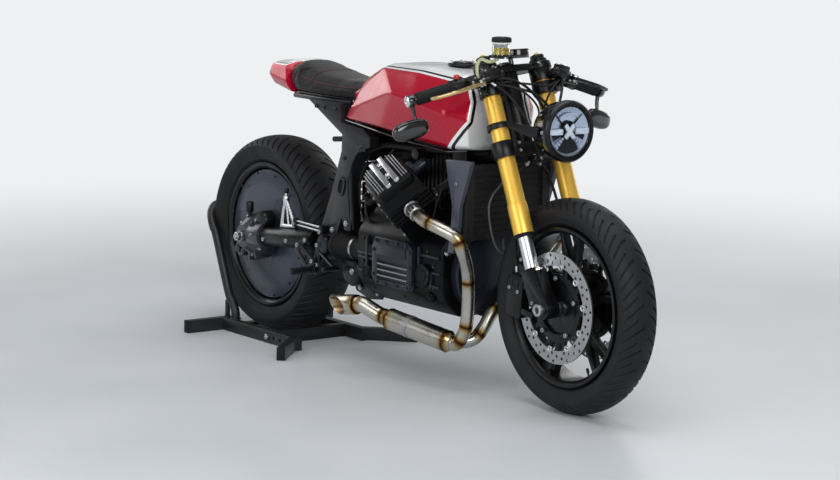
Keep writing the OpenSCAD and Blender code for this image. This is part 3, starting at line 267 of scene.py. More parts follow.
def solid(name, points, faces, material, place, body, node=None, slot=None, smooth=40):
    """A finished piece from points in mm at a place; it rides on a body and may stand for a CAD node."""
    mesh = bpy.data.meshes.new(name)
    mesh.from_pydata([place @ Vector(p) for p in points], [], faces)
    mesh.validate()
    face_out(mesh)
    return fit(in_scene(name, mesh), material, body, node, smooth)


def fit(made, material, body, node=None, smooth=40):
    """Gives a piece its material, soft shading, body and CAD node."""
    if material:
        made.data.materials.clear()
        made.data.materials.append(material)
    made.data.polygons.foreach_set("use_smooth", [True] * len(made.data.polygons))
    made.data.set_sharp_from_angle(angle=math.radians(smooth))
    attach(made, body)
    for each in [node] if isinstance(node, str) else node or []:
        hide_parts(each)
    return made


def skin(rings, loop=False):
    """Points and faces over rings of equal length; loop joins the last ring to the first."""
    count = len(rings[0])
    points = [p for ring in rings for p in ring]
    faces = []
    for i in range(len(rings) if loop else len(rings) - 1):
        a, b = i * count, (i + 1) % len(rings) * count
        faces += [(a + k, a + (k + 1) % count, b + (k + 1) % count, b + k) for k in range(count)]
    if not loop:
        faces += [tuple(range(count))[::-1], tuple(range((len(rings) - 1) * count, len(rings) * count))]
    return points, faces


def lathe(profile, steps=48, axis="Y"):
    """A turned shape from (radius, height) pairs; equal first and last pairs make a closed ring."""
    loop = profile[0] == profile[-1]
    rings = []
    for i in range(steps):
        a = math.tau * i / steps
        c, s = math.cos(a), math.sin(a)
        rings.append([{"Y": (r * c, h, -r * s), "Z": (r * c, r * s, h), "X": (h, r * c, r * s)}[axis]
                      for r, h in (profile[:-1] if loop else profile)])
    count = len(rings[0])
    points = [p for ring in rings for p in ring]
    faces = []
    for i in range(steps):
        a, b = i * count, (i + 1) % steps * count
        span = count if loop else count - 1
        faces += [(a + k, a + (k + 1) % count, b + (k + 1) % count, b + k) for k in range(span)]
    if not loop:
        faces += [tuple(i * count for i in range(steps)), tuple(i * count + count - 1 for i in range(steps))[::-1]]
    return points, faces


def smooth_path(points, step=8.0):
    """A curve through all the points, cut into equal short steps."""
    pts = [Vector(p) for p in points]
    ends = [2 * pts[0] - pts[1]] + pts + [2 * pts[-1] - pts[-2]]
    out = []
    for i in range(1, len(ends) - 2):
        a, b, c, d = ends[i - 1:i + 3]
        count = max(2, int((c - b).length / step))
        for k in range(count):
            t = k / count
            out.append(0.5 * (2 * b + (c - a) * t + (2 * a - 5 * b + 4 * c - d) * t * t
                              + (3 * b - a - 3 * c + d) * t ** 3))
    return out + [pts[-1]]


def tube(points, radius, sides=20, step=8.0):
    """A round tube along a smooth path; radius may be a number or a function of the share of the way along."""
    line = smooth_path(points, step)
    rings = []
    side = None
    for i, p in enumerate(line):
        way = (line[min(i + 1, len(line) - 1)] - line[max(i - 1, 0)]).normalized()
        side = side or way.orthogonal()
        side = (side - way * side.dot(way)).normalized()
        up = way.cross(side)
        r = radius(i / (len(line) - 1)) if callable(radius) else radius
        rings.append([p + r * (side * math.cos(math.tau * k / sides) + up * math.sin(math.tau * k / sides))
                      for k in range(sides)])
    return skin(rings)


def together(*shapes):
    """Several (points, faces) shapes as one."""
    points, faces = [], []
    for some, their in shapes:
        faces += [tuple(i + len(points) for i in face) for face in their]
        points += list(some)
    return points, faces


def moved(shape, place):
    return [place @ Vector(p) for p in shape[0]], shape[1]


def box_shape(low, high):
    (a, b, c), (d, e, f) = low, high
    points = [(x, y, z) for x in (a, d) for y in (b, e) for z in (c, f)]
    return points, [(0, 1, 3, 2), (4, 6, 7, 5), (0, 4, 5, 1), (2, 3, 7, 6), (0, 2, 6, 4), (1, 5, 7, 3)]


def bevelled(made, width, segments, angle):
    """Rounds the sharp edges of a piece by a bevel of that width in mm and leaves a plain mesh."""
    bevel = made.modifiers.new("edge", "BEVEL")
    bevel.width, bevel.segments = width * MM, segments
    bevel.limit_method, bevel.angle_limit = "ANGLE", math.radians(angle)
    return bake(made)


def dressed(node, material, edge, smooth=35, segments=2):
    """A copy of a CAD part with its sharp edges rounded."""
    source = frame["nodes"][node]
    mesh = source.data.copy()
    mesh.materials.clear()
    work = bmesh.new()
    work.from_mesh(mesh)
    bmesh.ops.remove_doubles(work, verts=work.verts, dist=2e-5)
    bmesh.ops.dissolve_limit(work, angle_limit=math.radians(0.6), verts=work.verts, edges=work.edges)
    bmesh.ops.recalc_face_normals(work, faces=work.faces)
    work.to_mesh(mesh)
    work.free()
    made = in_scene(node + "_skin", mesh)
    bevelled(made, edge, segments, smooth)
    return fit(made, material, source["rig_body"], node, smooth)


def flat_shape(outline, holes, low, high):
    """A plate between two heights with the given outline and holes, as points and faces."""
    work = bmesh.new()
    edges = []
    for ring in [outline] + holes:
        verts = [work.verts.new((x, y, low)) for x, y in ring]
        edges += [work.edges.new((a, b)) for a, b in zip(verts, verts[1:] + verts[:1])]
    bmesh.ops.triangle_fill(work, edges=edges, use_beauty=True)
    grown = bmesh.ops.extrude_face_region(work, geom=work.faces[:])
    for item in grown["geom"]:
        if isinstance(item, bmesh.types.BMVert):
            item.co.z = high
    work.verts.index_update()
    points = [v.co.copy() for v in work.verts]
    faces = [tuple(v.index for v in f.verts) for f in work.faces]
    work.free()
    return points, faces


def slot_line(x0, y0, x1, y1, r):
    """A long hole with round ends between two points."""
    steps, lean = 8, math.atan2(y1 - y0, x1 - x0)
    line = []
    for x, y, first in ((x1, y1, lean - math.pi / 2), (x0, y0, lean + math.pi / 2)):
        for k in range(steps + 1):
            a = first + math.pi * k / steps
            line.append((x + r * math.cos(a), y + r * math.sin(a)))
    return line


def plates(outline, holes, low, high, sides=SIDES):
    """The same upright plate on one or both sides, between two distances from the middle."""
    return together(*[moved(flat_shape(outline, holes, *((low, high) if s < 0 else (-high, -low))), turn("X", 90))
                      for s in sides])


def side_box(side, x0, x1, near, far, z0, z1):
    """A box on one side, between two distances from the middle."""
    y0, y1 = sorted((side * near, side * far))
    return box_shape((x0, y0, z0), (x1, y1, z1))


def fluted(profile, low, high, ridge, raised):
    """A turned shape from (radius, height) pairs; points that are raised stand out by a ridge between two heights."""
    count, rings = 72, []
    for r, z in profile:
        ring = []
        for k in range(count):
            reach = r + (ridge if low <= z <= high and raised(k) else 0)
            ring.append((reach * math.cos(math.tau * k / count), reach * math.sin(math.tau * k / count), z))
        rings.append(ring)
    return skin(rings)


def facing(way):
    """A turn that points z along a direction."""
    return way.to_track_quat("Z", "Y").to_matrix().to_4x4()


def edged(made, width, segments=2, angle=35):
    """Rounds the sharp edges of a piece and leaves a plain mesh."""
    plain = bevelled(made, width, segments, angle)
    plain.polygons.foreach_set("use_smooth", [True] * len(plain.polygons))
    plain.set_sharp_from_angle(angle=math.radians(40))
    return made


SLOTS = {s["node"]: s["material_slot"] for s in frame["record"]["subparts"]}

# %% [markdown]
# ## Screws by Geometry Nodes
# A motorcycle is held together by screws that are all alike, so one head is modelled and a node tree sets it
# on every point, turned to the point's own direction. The tree ends in real geometry, so that each result
# becomes a plain mesh.

# %% Screw heads and the tree that sets them
def head_shape(hexagon=False):
    """A socket head of radius 1, its foot at z = 0; hexagon gives a plain six-sided nut instead."""
    sides, depth = 24, 0.55

    def ring(r, z, six=False):
        out = []
        for k in range(sides):
            a = math.tau * k / sides
            reach = r * math.cos(math.pi / 6) / math.cos((a % (math.pi / 3)) - math.pi / 6) if six else r
            out.append((reach * math.cos(a), reach * math.sin(a), z))
        return out

    if hexagon:
        rings = [ring(1.0, 0, True), ring(1.0, 0.6, True), ring(0.9, 0.7, True), ring(0.55, 0.7), ring(0.52, 0.95),
                 ring(0.46, 1.0)]
    else:
        rings = [ring(1.0, 0), ring(1.0, 0.78), ring(0.9, 0.9), ring(0.6, 0.9, True), ring(0.56, 0.86, True),
                 ring(0.54, 0.9 - depth, True)]
    return skin(rings)


def unit_object(name, shape):
    mesh = bpy.data.meshes.new(name)
    mesh.from_pydata([tuple(p) for p in shape[0]], [], shape[1])
    face_out(mesh)
    return bpy.data.objects.new(name, mesh)


def set_tree():
    """Points with an aim in; one unit object on each of them out."""
    tree = bpy.data.node_groups.new("set_on_points", "GeometryNodeTree")
    sockets = {}
    for label, kind, way in (("Geometry", "NodeSocketGeometry", "INPUT"), ("Unit", "NodeSocketObject", "INPUT"),
                             ("Size", "NodeSocketFloat", "INPUT"), ("Finish", "NodeSocketMaterial", "INPUT"),
                             ("Geometry", "NodeSocketGeometry", "OUTPUT")):
        sockets[label, way] = tree.interface.new_socket(label, in_out=way, socket_type=kind).identifier
    start = put(tree, "NodeGroupInput")
    aim = put(tree, "GeometryNodeInputNamedAttribute", {"Name": "aim"}, data_type="FLOAT_VECTOR")
    face = put(tree, "FunctionNodeAlignRotationToVector", links={"Vector": aim.outputs[0]}, axis="Z")
    unit = put(tree, "GeometryNodeObjectInfo", links={"Object": start.outputs["Unit"]})
    spots = put(tree, "GeometryNodeMeshToPoints", links={"Mesh": start.outputs["Geometry"]})
    each = put(tree, "GeometryNodeInstanceOnPoints", links={
        "Points": spots.outputs[0], "Instance": unit.outputs["Geometry"], "Rotation": face.outputs[0],
        "Scale": start.outputs["Size"]})
    real = put(tree, "GeometryNodeRealizeInstances", links={0: each.outputs[0]})
    coated = put(tree, "GeometryNodeSetMaterial", links={"Geometry": real.outputs[0],
                                                         "Material": start.outputs["Finish"]})
    put(tree, "NodeGroupOutput", links={0: coated.outputs[0]})
    return tree, sockets


SET_TREE, SET_SOCKETS = set_tree()
SOCKET_HEAD = unit_object("socket_head", head_shape())
NUT_HEAD = unit_object("nut_head", head_shape(hexagon=True))


def set_units(name, spots, size, material, body, unit=SOCKET_HEAD, smooth=30):
    """Sets a unit on (point, aim) pairs in metres and returns the plain mesh of all of them."""
    mesh = bpy.data.meshes.new(name + "_points")
    mesh.from_pydata([tuple(p) for p, _ in spots], [], [])
    mesh.attributes.new("aim", "FLOAT_VECTOR", "POINT").data.foreach_set(
        "vector", [c for _, a in spots for c in Vector(a).normalized()])
    made = in_scene(name, mesh)
    tree = made.modifiers.new("set", "NODES")
    tree.node_group = SET_TREE
    tree[SET_SOCKETS["Unit", "INPUT"]] = unit
    tree[SET_SOCKETS["Size", "INPUT"]] = size * MM
    tree[SET_SOCKETS["Finish", "INPUT"]] = material
    bpy.context.view_layer.update()
    bake(made)
    return fit(made, material, body, smooth=smooth)


def spots_at(place, pairs):
    """(point, aim) pairs at a place, in mm, as pairs in metres."""
    turned = place.to_3x3()
    return [(place @ Vector(p), (turned @ Vector(a)).normalized()) for p, a in pairs]


def round_spots(place, count, radius, height, aim, first=0.0, axis="Y"):
    """Spots evenly around an axis at a place, all with the same aim."""
    out = []
    for k in range(count):
        a = math.tau * k / count + math.radians(first)
        c, s = radius * math.cos(a), radius * math.sin(a)
        out.append(({"Y": (c, height, s), "X": (height, c, s), "Z": (c, s, height)}[axis], aim))
    return spots_at(place, out)


print("tools ready")

# %% [markdown]
# ## Tyres
# A road tyre is a ring of rubber whose tread is cut by slanting grooves that drain water to the shoulders.
# An image could fake them, but the grooves show against the light at the edge of the wheel, so they are real.
# The tread is a grid bent round the wheel. Its cross lines lean along the grooves, so that each groove follows
# the grid exactly and keeps clean walls.

# %% Treaded tyres
def tyre(name, radius, width, rim, place, body, node, repeats):
    """A tyre from its profile; two slanting grooves in each repeat are pressed into the tread."""
    half, lean_end, groove_depth = width / 2, math.radians(74), 4.2
    crown = []
    # Profile from one bead to the other: (radius, across, tread share from -1 to 1 or None)
    side = [(rim - 5, half - 34), (rim + 1, half - 27), (rim + 7, half - 20), (rim + 10, half - 15),
            (rim + 14, half - 12.5), (rim + 17, half - 12.2), (rim + 20, half - 9.5)]
    shoulder = radius - 31
    for k in range(1, 5):
        t = k / 5
        side.append((rim + 20 + (shoulder - rim - 20) * t, half - 9.5 + 9.0 * math.sin(t * math.pi / 2)))
    shares = [-1.0, -0.96, -0.92, -0.9, -0.82, -0.72, -0.62, -0.52, -0.42, -0.34, -0.32, -0.24, -0.14, -0.1, -0.08]
    shares += [0.0] + [-s for s in shares[::-1]]
    for s in shares:
        a = lean_end * abs(s)
        drop = (radius - shoulder) * (1 - math.cos(a)) / (1 - math.cos(lean_end))
        across = half * math.sin(a) / math.sin(lean_end) * 0.995
        crown.append((radius - drop, math.copysign(across, s) if s else 0.0, s))
    profile = [(r, -y, None) for r, y in side] + crown + [(r, y, None) for r, y in side[::-1]]
    profile += [(rim - 8, half - 36, None), (rim - 8, -half + 36, None)]
    pitch = math.tau / repeats
    # Columns inside one repeat: (share of the pitch, number of the groove there or 0)
    columns = [(0.0, 0), (0.10, 0), (0.13, 1), (0.205, 1), (0.235, 0), (0.36, 0), (0.5, 0), (0.60, 0), (0.63, 2),
               (0.705, 2), (0.735, 0), (0.87, 0)]
    rings = []
    for step in range(repeats):
        for share, groove in columns:
            ring = []
            for r, y, s in profile:
                lean = 0.9 * abs(s if s is not None else 1.0) ** 1.35
                angle = (step + share + lean) * pitch
                cut = 0.0
                if s is not None and groove:
                    long_side = groove == (1 if s < 0 else 2)
                    low, high = (0.1, 0.9) if long_side else (0.34, 0.92)
                    if low <= abs(s) <= high:
                        cut = groove_depth
                ring.append(((r - cut) * math.cos(angle), y, -(r - cut) * math.sin(angle)))
            rings.append(ring)
    return solid(name, *skin(rings, loop=True), RUBBER, place, body, node, "tyre_rubber", smooth=38)


front_tyre = tyre("front_tyre_rubber", 300, 120, 222, FRONT_WHEEL, "front_wheel", "front_tyre", 30)
rear_tyre = tyre("rear_tyre_rubber", 315, 172, 230, REAR_WHEEL, "rear_wheel", "rear_tyre", 30)
print("tyre faces", len(front_tyre.data.polygons), len(rear_tyre.data.polygons))

# %% [markdown]
# ## Brake discs
# A floating disc is a flat steel ring, drilled to shed water and heat and carried by silver bobbins.
# Cutting a hundred holes with booleans is slow and leaves a ragged mesh. A node tree instead draws the ring and
# all its holes as curves, fills the flat shape between them and gives it thickness.

# %% Drilled discs
def disc_tree():
    """Hole centres in; a flat drilled ring with thickness out."""
    tree = bpy.data.node_groups.new("drilled_disc", "GeometryNodeTree")
    ids = {}
    for label, kind in (("Geometry", "Geometry"), ("Outer", "Float"), ("Inner", "Float"), ("Thickness", "Float"),
                        ("Hole", "Float"), ("Finish", "Material")):
        ids[label] = tree.interface.new_socket(label, in_out="INPUT", socket_type="NodeSocket" + kind).identifier
    tree.interface.new_socket("Geometry", in_out="OUTPUT", socket_type="NodeSocketGeometry")
    start = put(tree, "NodeGroupInput")
    outer, inner, hole = [
        put(tree, "GeometryNodeCurvePrimitiveCircle", {"Resolution": steps}, {"Radius": start.outputs[label]})
        for label, steps in (("Outer", 128), ("Inner", 96), ("Hole", 14))]
    spots = put(tree, "GeometryNodeMeshToPoints", links={"Mesh": start.outputs["Geometry"]})
    holes = put(tree, "GeometryNodeInstanceOnPoints", links={"Points": spots.outputs[0], "Instance": hole.outputs[0]})
    cut = put(tree, "GeometryNodeRealizeInstances", links={0: holes.outputs[0]})
    lines = put(tree, "GeometryNodeJoinGeometry")
    for source in (cut, inner, outer):
        tree.links.new(source.outputs[0], lines.inputs[0])
    flat = put(tree, "GeometryNodeFillCurve", links={0: lines.outputs[0]})
    raised = put(tree, "GeometryNodeExtrudeMesh", {"Individual": False},
                 {"Mesh": flat.outputs[0], "Offset Scale": start.outputs["Thickness"]})
    back = put(tree, "GeometryNodeFlipFaces", links={0: flat.outputs[0]})
    whole = put(tree, "GeometryNodeJoinGeometry")
    for source in (back, raised):
        tree.links.new(source.outputs[0], whole.inputs[0])
    closed = put(tree, "GeometryNodeMergeByDistance", {"Distance": 1e-6}, {0: whole.outputs[0]})
    real = put(tree, "GeometryNodeRealizeInstances", links={0: closed.outputs[0]})
    coated = put(tree, "GeometryNodeSetMaterial", links={"Geometry": real.outputs[0],
                                                         "Material": start.outputs["Finish"]})
    put(tree, "NodeGroupOutput", links={0: coated.outputs[0]})
    return tree, ids


# Ground disc steel: the pads polish rings into it, so its gloss changes with the distance from the axle.
DISC_STEEL = finish("ground_disc_steel", "#b4b6b8", 0.3, metal=1.0, grain=0.9, mottle=0.06, relief=0.008)


def rings_round(made, hub, spacing, depth):
    """Turns a finish into a turned one: fine rings around a hub instead of an even grain."""
    tree, shader = parts_of(made)
    where = put(tree, "ShaderNodeTexCoord")
    middle = put(tree, "ShaderNodeVectorMath", {1: tuple(hub)}, {0: where.outputs["Object"]}, operation="SUBTRACT")
    flat = put(tree, "ShaderNodeVectorMath", {1: (1, 0, 1)}, {0: middle.outputs[0]}, operation="MULTIPLY")
    away = put(tree, "ShaderNodeVectorMath", links={0: flat.outputs[0]}, operation="LENGTH")
    marks = put(tree, "ShaderNodeTexNoise", {"Scale": 1 / (spacing * MM), "Detail": 3.0},
                {"W": away.outputs["Value"]}, noise_dimensions="1D")
    bump = put(tree, "ShaderNodeBump", {"Strength": 0.5, "Distance": depth * MM}, {"Height": marks.outputs[0]})
    level = put(tree, "ShaderNodeMapRange", {"From Min": 0.3, "From Max": 0.7, "To Min": 0.24, "To Max": 0.46},
                {"Value": marks.outputs[0]})
    tree.links.new(bump.outputs[0], shader.inputs["Normal"])
    tree.links.new(level.outputs[0], shader.inputs["Roughness"])


rings_round(DISC_STEEL, FRONT_HUB, 1.2, 0.02)
DISC_TREE, DISC_IDS = disc_tree()
DISC_Y, DISC_T, DISC_OUT, DISC_IN = 67, 5, 155, 118
# Each row of holes has four places, (radius, degrees), of which every other one is drilled
HOLE_ROWS, HOLE_R, HOLE_PLACES = 30, 4.5, ((125.5, -1.5), (132.5, 1.5), (140, 4.5), (147.5, 7.5))


def brake_disc(side):
    """One drilled disc on the given side of the front wheel."""
    spots = []
    for k in range(HOLE_ROWS):
        for j, (r, lean) in enumerate(HOLE_PLACES):
            a = math.tau * k / HOLE_ROWS + math.radians(lean) * side
            if (k + j) % 2 == 0:
                spots.append((r * MM * math.cos(a), r * MM * math.sin(a), 0))
    mesh = bpy.data.meshes.new("disc_points")
    mesh.from_pydata(spots, [], [])
    made = in_scene("brake_disc_left" if side > 0 else "brake_disc_right", mesh)
    drill = made.modifiers.new("drill", "NODES")
    drill.node_group = DISC_TREE
    for label, value in (("Outer", DISC_OUT * MM), ("Inner", DISC_IN * MM), ("Thickness", DISC_T * MM),
                         ("Hole", HOLE_R * MM), ("Finish", DISC_STEEL)):
        drill[DISC_IDS[label]] = value
    bpy.context.view_layer.update()
    plain = bake(made)
    plain.transform(Matrix.Translation(FRONT_HUB + Vector((0, (side * DISC_Y + DISC_T / 2) * MM, 0))) @ turn("X", 90))
    face_out(plain)
    return fit(made, DISC_STEEL, "front_wheel", "front_discs" if side < 0 else None, smooth=25)


for side in SIDES:
    disc = brake_disc(side)
    print(disc.name, "faces", len(disc.data.polygons))

# %% [markdown]
# ## Wheels
# The front wheel is one casting with forked spokes; the rear one hides behind smooth dished covers. The CAD parts
# already have these forms, so they are copied and their edges rounded. Bobbins, screws and a valve are added.

# %% Rims, carriers and covers
dressed("front_rim", WHEEL_BLACK, 2.2)
dressed("rear_rim", WHEEL_BLACK, 1.5)
dressed("disc_carriers", SATIN_BLACK, 1.0)
# Satin cover metal: turned on a lathe, so its highlight stretches into faint rings.
COVER_GREY = finish("satin_cover_paint", "#3b414e", 0.34, metal=0.25, coat=0.1, grain=1.2, mottle=0.05, relief=0.01)
rings_round(COVER_GREY, REAR_HUB, 3.0, 0.012)
dressed("rear_covers", COVER_GREY, 1.6)
BOBBIN = unit_object("bobbin", lathe([(0.35, 0), (1.0, 0), (1.0, 0.18), (0.86, 0.3), (0.62, 0.3), (0.55, 0.2),
                                      (0.35, 0.2), (0.35, 0)], 24, "Z"))
for side in SIDES:
    tag = "left" if side > 0 else "right"
    aim = (0, side, 0)
    set_units("disc_bobbins_" + tag, round_spots(FRONT_WHEEL, 10, 117, side * (DISC_Y + 2.5), aim, 9), 9.6, POLISHED,
              "front_wheel", BOBBIN)
    set_units("carrier_screws_" + tag, round_spots(FRONT_WHEEL, 5, 84, side * 69.5, aim, 18), 6.5, STEEL, "front_wheel")
    set_units("cover_screws_" + tag, round_spots(REAR_WHEEL, 12, 198, side * 66, aim, 15), 4.0, SATIN_BLACK,
              "rear_wheel")
# A tyre valve: a rubber foot, a stem and its cap, pointing to the axle
stem = lathe([(5.5, 0), (5.5, -6), (4.0, -9), (3.0, -10), (3.0, -22), (4.2, -22.5), (4.2, -33), (3.2, -35)], 16, "X")
solid("front_valve", [(x + 210, y, z) for x, y, z in stem[0]], stem[1], PLASTIC, FRONT_WHEEL @ turn("Y", 70),
      "front_wheel")
print("wheels dressed")

# %% [markdown]
# ## Fuel tank
# The tank is pressed from sheet: flat facets with creases that are rolled, not knife-sharp. The facets come from
# six cross sections. Each patch between them is divided finely, and a few rounds of smoothing roll the creases.
# The paint scheme is stored on the mesh as a distance from the edge of the red. The material turns that distance
# into the white and black lines, which stay crisp however coarse the mesh is.

# %% Tank skin
def grid_surface(sections, along, around, rolls, low_cap=0.0):
    """Points of a body from half sections, mirrored, with the rows' place in section and profile steps."""
    rows = []
    for i in range(len(sections) - 1):
        for a in range(along if i < len(sections) - 2 else along + 1):
            t = a / along
            ring = [Vector(p) * (1 - t) + Vector(q) * t for p, q in zip(sections[i], sections[i + 1])]
            half = []
            for j in range(len(ring) - 1):
                half += [(ring[j].lerp(ring[j + 1], b / around), j + b / around) for b in range(around)]
            half.append((ring[-1], float(len(ring) - 1)))
            top = half[-1][0].copy()
            crest = [(Vector((top.x, top.y * (1 - c / 4), top.z + low_cap * (c / 4))), len(ring) - 1 + c / 4)
                     for c in range(1, 5)]
            right = [(Vector((p.x, -p.y, p.z)), v) for p, v in half + crest]
            left = [(Vector((p.x, p.y, p.z)), v) for p, v in (half + crest[:-1])[::-1]]
            low = half[0][0]
            under = [(Vector((low.x, low.y * (1 - c / 4), low.z)), -c / 4) for c in range(1, 8)]
            rows.append([(p, i + t, v) for p, v in right + left + under])
    count = len(rows[0])
    places = [[cell[0] for cell in row] for row in rows]
    for _ in range(rolls):
        fresh = [[p.copy() for p in row] for row in places]
        for i in range(1, len(places) - 1):
            for k in range(count):
                around_sum = places[i][k - 1] + places[i][(k + 1) % count] + places[i - 1][k] + places[i + 1][k]
                fresh[i][k] = places[i][k] * 0.5 + around_sum * 0.125
        for i in (0, len(places) - 1):
            for k in range(count):
                fresh[i][k] = places[i][k] * 0.6 + (places[i][k - 1] + places[i][(k + 1) % count]) * 0.2
        places = fresh
    return places, rows


def closed_ends(places, bulge=6.0):
    """The rings of a body with both ends drawn in to a soft, slightly domed cap."""
    out, steps = [list(row) for row in places], 4
    for end in (0, -1):
        ring = places[end]
        middle = sum(ring, Vector()) / len(ring)
        outward = (middle - sum(places[1 if end == 0 else -2], Vector()) / len(ring)).normalized()
        caps = []
        for s in range(1, steps + 1):
            t = s / (steps + 0.25)
            caps.append([p.lerp(middle, t) + outward * bulge * math.sin(t * math.pi / 2) for p in ring])
        out = (caps[::-1] + out) if end == 0 else (out + caps)
    return out


TANK = [
    [(-940, 126, 734), (-914, 124, 775), (-882, 96, 855), (-868, 60, 884)],
    [(-712, 168, 724), (-628, 186, 848), (-765, 118, 904), (-772, 70, 916)],
    [(-560, 164, 708), (-520, 188, 832), (-560, 138, 904), (-560, 84, 924)],
    [(-404, 148, 695), (-402, 166, 806), (-412, 122, 890), (-414, 76, 912)],
    [(-352, 114, 699), (-352, 118, 786), (-358, 92, 866), (-366, 62, 894)],
    [(-338, 58, 716), (-338, 60, 785), (-344, 50, 852), (-354, 38, 878)],
]


def on_sections(sections, u, v):
    """The point at section u and profile step v."""
    i, j = min(int(u), len(sections) - 2), min(int(v), len(sections[0]) - 2)
    s, t = u - i, v - j
    a = Vector(sections[i][j]).lerp(Vector(sections[i][j + 1]), t)
    b = Vector(sections[i + 1][j]).lerp(Vector(sections[i + 1][j + 1]), t)
    return a.lerp(b, s)


def paint_edge():
    """The edge of the red, from the back of the tank along its shoulder and down its front."""
    corners = [(0.0, 2.98), (0.55, 2.5), (1.0, 2.1), (2.0, 2.1), (3.0, 2.06), (3.72, 2.0), (3.98, 1.62), (4.02, 1.0),
               (3.55, 0.55), (2.9, 0.0)]
    line = []
    for (u0, v0), (u1, v1) in zip(corners, corners[1:]):
        line += [(u0 + (u1 - u0) * k / 60, v0 + (v1 - v0) * k / 60) for k in range(60)]
    return line + [corners[-1]], corners


def inside(u, v, corners):
    """Whether a place on the tank lies in the red field."""
    fence = [(-0.2, -2), (-0.2, 2.98)] + corners + [(2.9, -2)]
    hit = False
    for (x0, y0), (x1, y1) in zip(fence, fence[1:] + fence[:1]):
        if (y0 > v) != (y1 > v) and u < (x1 - x0) * (v - y0) / (y1 - y0) + x0:
            hit = not hit
    return hit


places, cells = grid_surface(TANK, 26, 20, 12)
edge_line, edge_corners = paint_edge()
edge_tree = KDTree(len(edge_line))
for i, (u, v) in enumerate(edge_line):
    edge_tree.insert(on_sections(TANK, u, v), i)
edge_tree.balance()
rings = closed_ends(places)
extra = (len(rings) - len(cells)) // 2
tank = solid("fuel_tank_skin", *skin(rings), None, FRONT, "chassis", "fuel_tank", "tank_red", smooth=60)
reach = []
for i in range(len(rings)):
    row = cells[min(max(i - extra, 0), len(cells) - 1)]
    for p, u, v in row:
        away = edge_tree.find(Vector((p.x, abs(p.y), p.z)))[2]
        red = inside(u, v, edge_corners) and i - extra < len(cells)
        reach.append(-away if red else away)
store(tank, "paint", reach)


def lined_paint(name, field, lines, rest, metal=0.0):
    """Pearl paint in a field, then stripes of (width in mm, colour), then the rest, by the paint distance."""
    made = finish(name, field, 0.22, metal=metal, coat=0.45, grain=0.6, mottle=0.05, relief=0.002, shine=0.25)
    tree, shader = parts_of(made)
    shader.inputs["Coat Roughness"].default_value = 0.03
    far = put(tree, "ShaderNodeAttribute", attribute_name="paint")
    flake = shader.inputs["Base Color"].links[0].from_socket
    start, colour = 0.0, flake
    for width, shade in lines + [(1e6, rest)]:
        past = put(tree, "ShaderNodeMapRange", {"From Min": start - 0.3, "From Max": start + 0.3},
                   {"Value": far.outputs["Fac"]})
        mixed = put(tree, "ShaderNodeMix", data_type="RGBA")
        mixed.inputs[7].default_value = linear(shade)
        tree.links.new(past.outputs[0], mixed.inputs[0])
        tree.links.new(colour, mixed.inputs[6])
        colour = mixed.outputs[2]
        start += width
    tree.links.new(colour, shader.inputs["Base Color"])
    return made


# Pearl red under clear lacquer: a deep colour whose facets mirror the room.
TANK_PAINT = lined_paint("pearl_red_lacquer", "#b0082a", [(9.0, "#f1f2f3"), (9.0, "#0d0d10")], "#eceef0", metal=0.25)
tank.data.materials.append(TANK_PAINT)
print("tank faces", len(tank.data.polygons))

# %% [markdown]
# ## Tank cap and seam
# A flush cap sits in the top of the tank in a ring of small screws. The lower edge of the tank has the welded
# seam where the two halves meet.

# %% Cap details
dressed("tank_cap", SATIN_BLACK, 2.0)
low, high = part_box("tank_cap")
cap_place = in_mm(Vector(((low.x + high.x) / 2, 0, high.z)))
set_units("cap_screws", round_spots(cap_place, 6, 36, 0, (0, 0, 1), 30, "Z"), 3.0, STEEL, "chassis")
solid("cap_lock", *together(lathe([(13, -1), (13, 1.6), (11.5, 2.4), (6, 2.4), (5.4, 1.6)], 32, "Z"),
                            box_shape((-4, -0.7, 1.5), (4, 0.7, 2.2))), STEEL, cap_place, "chassis")
seam_line = [on_sections(TANK, u / 4, 0.0) for u in range(17)]
for tag, part in (("right", [(p.x, -p.y - 1.0, p.z) for p in seam_line]),
                  ("left", [(p.x, p.y + 1.0, p.z) for p in seam_line[::-1]])):
    solid("tank_seam_" + tag, *tube(part, 2.2, 10, 14), GLOSS_BLACK, FRONT, "chassis")

# %% [markdown]
# ## Tail
# A small painted tail closes the seat. It has the tank's red with a white band on top, edged by a black pinstripe.

# %% Tail skin
PAN_LOW = 788.7
TAIL = [
    [(-1430, 60, PAN_LOW + 24), (-1440, 74, 832), (-1438, 66, 856), (-1436, 35, 864)],
    [(-1402, 76, PAN_LOW + 14), (-1412, 88, 830), (-1412, 78, 868), (-1412, 40, 877)],
    [(-1272.5, 97, PAN_LOW - 3), (-1296, 106, 818), (-1325, 88, 868), (-1339, 45, 884)],
]
places, cells = grid_surface(TAIL, 14, 10, 4)
rings = closed_ends(places, bulge=3.0)
extra = (len(rings) - len(cells)) // 2
tail = solid("tail_skin", *skin(rings), None, FRONT, "chassis", "tail_cowl", "tank_red", smooth=60)
reach = []
for i in range(len(rings)):
    capped = not 0 <= i - extra < len(cells)
    for p, u, v in cells[min(max(i - extra, 0), len(cells) - 1)]:
        top = on_sections(TAIL, u, 2).y - abs(p.y) if v >= 2 else (v - 2) * 40
        reach.append(-30.0 if capped else top)
store(tail, "paint", reach)
TAIL_PAINT = lined_paint("tail_red_lacquer", "#b0082a", [(9.0, "#f1f2f3"), (4.0, "#0d0d10")], "#f1f2f3", metal=0.25)
tail.data.materials.append(TAIL_PAINT)
print("tail faces", len(tail.data.polygons))

# %% [markdown]
# ## Seat
# The pad is foam under suede: soft edges, a hump behind the rider and slight pulls along the seams. It starts
# as the plain section shape, a little small, and a short cloth simulation blows it up under its cover.
# The seams and their red stitches are laid on the finished surface.

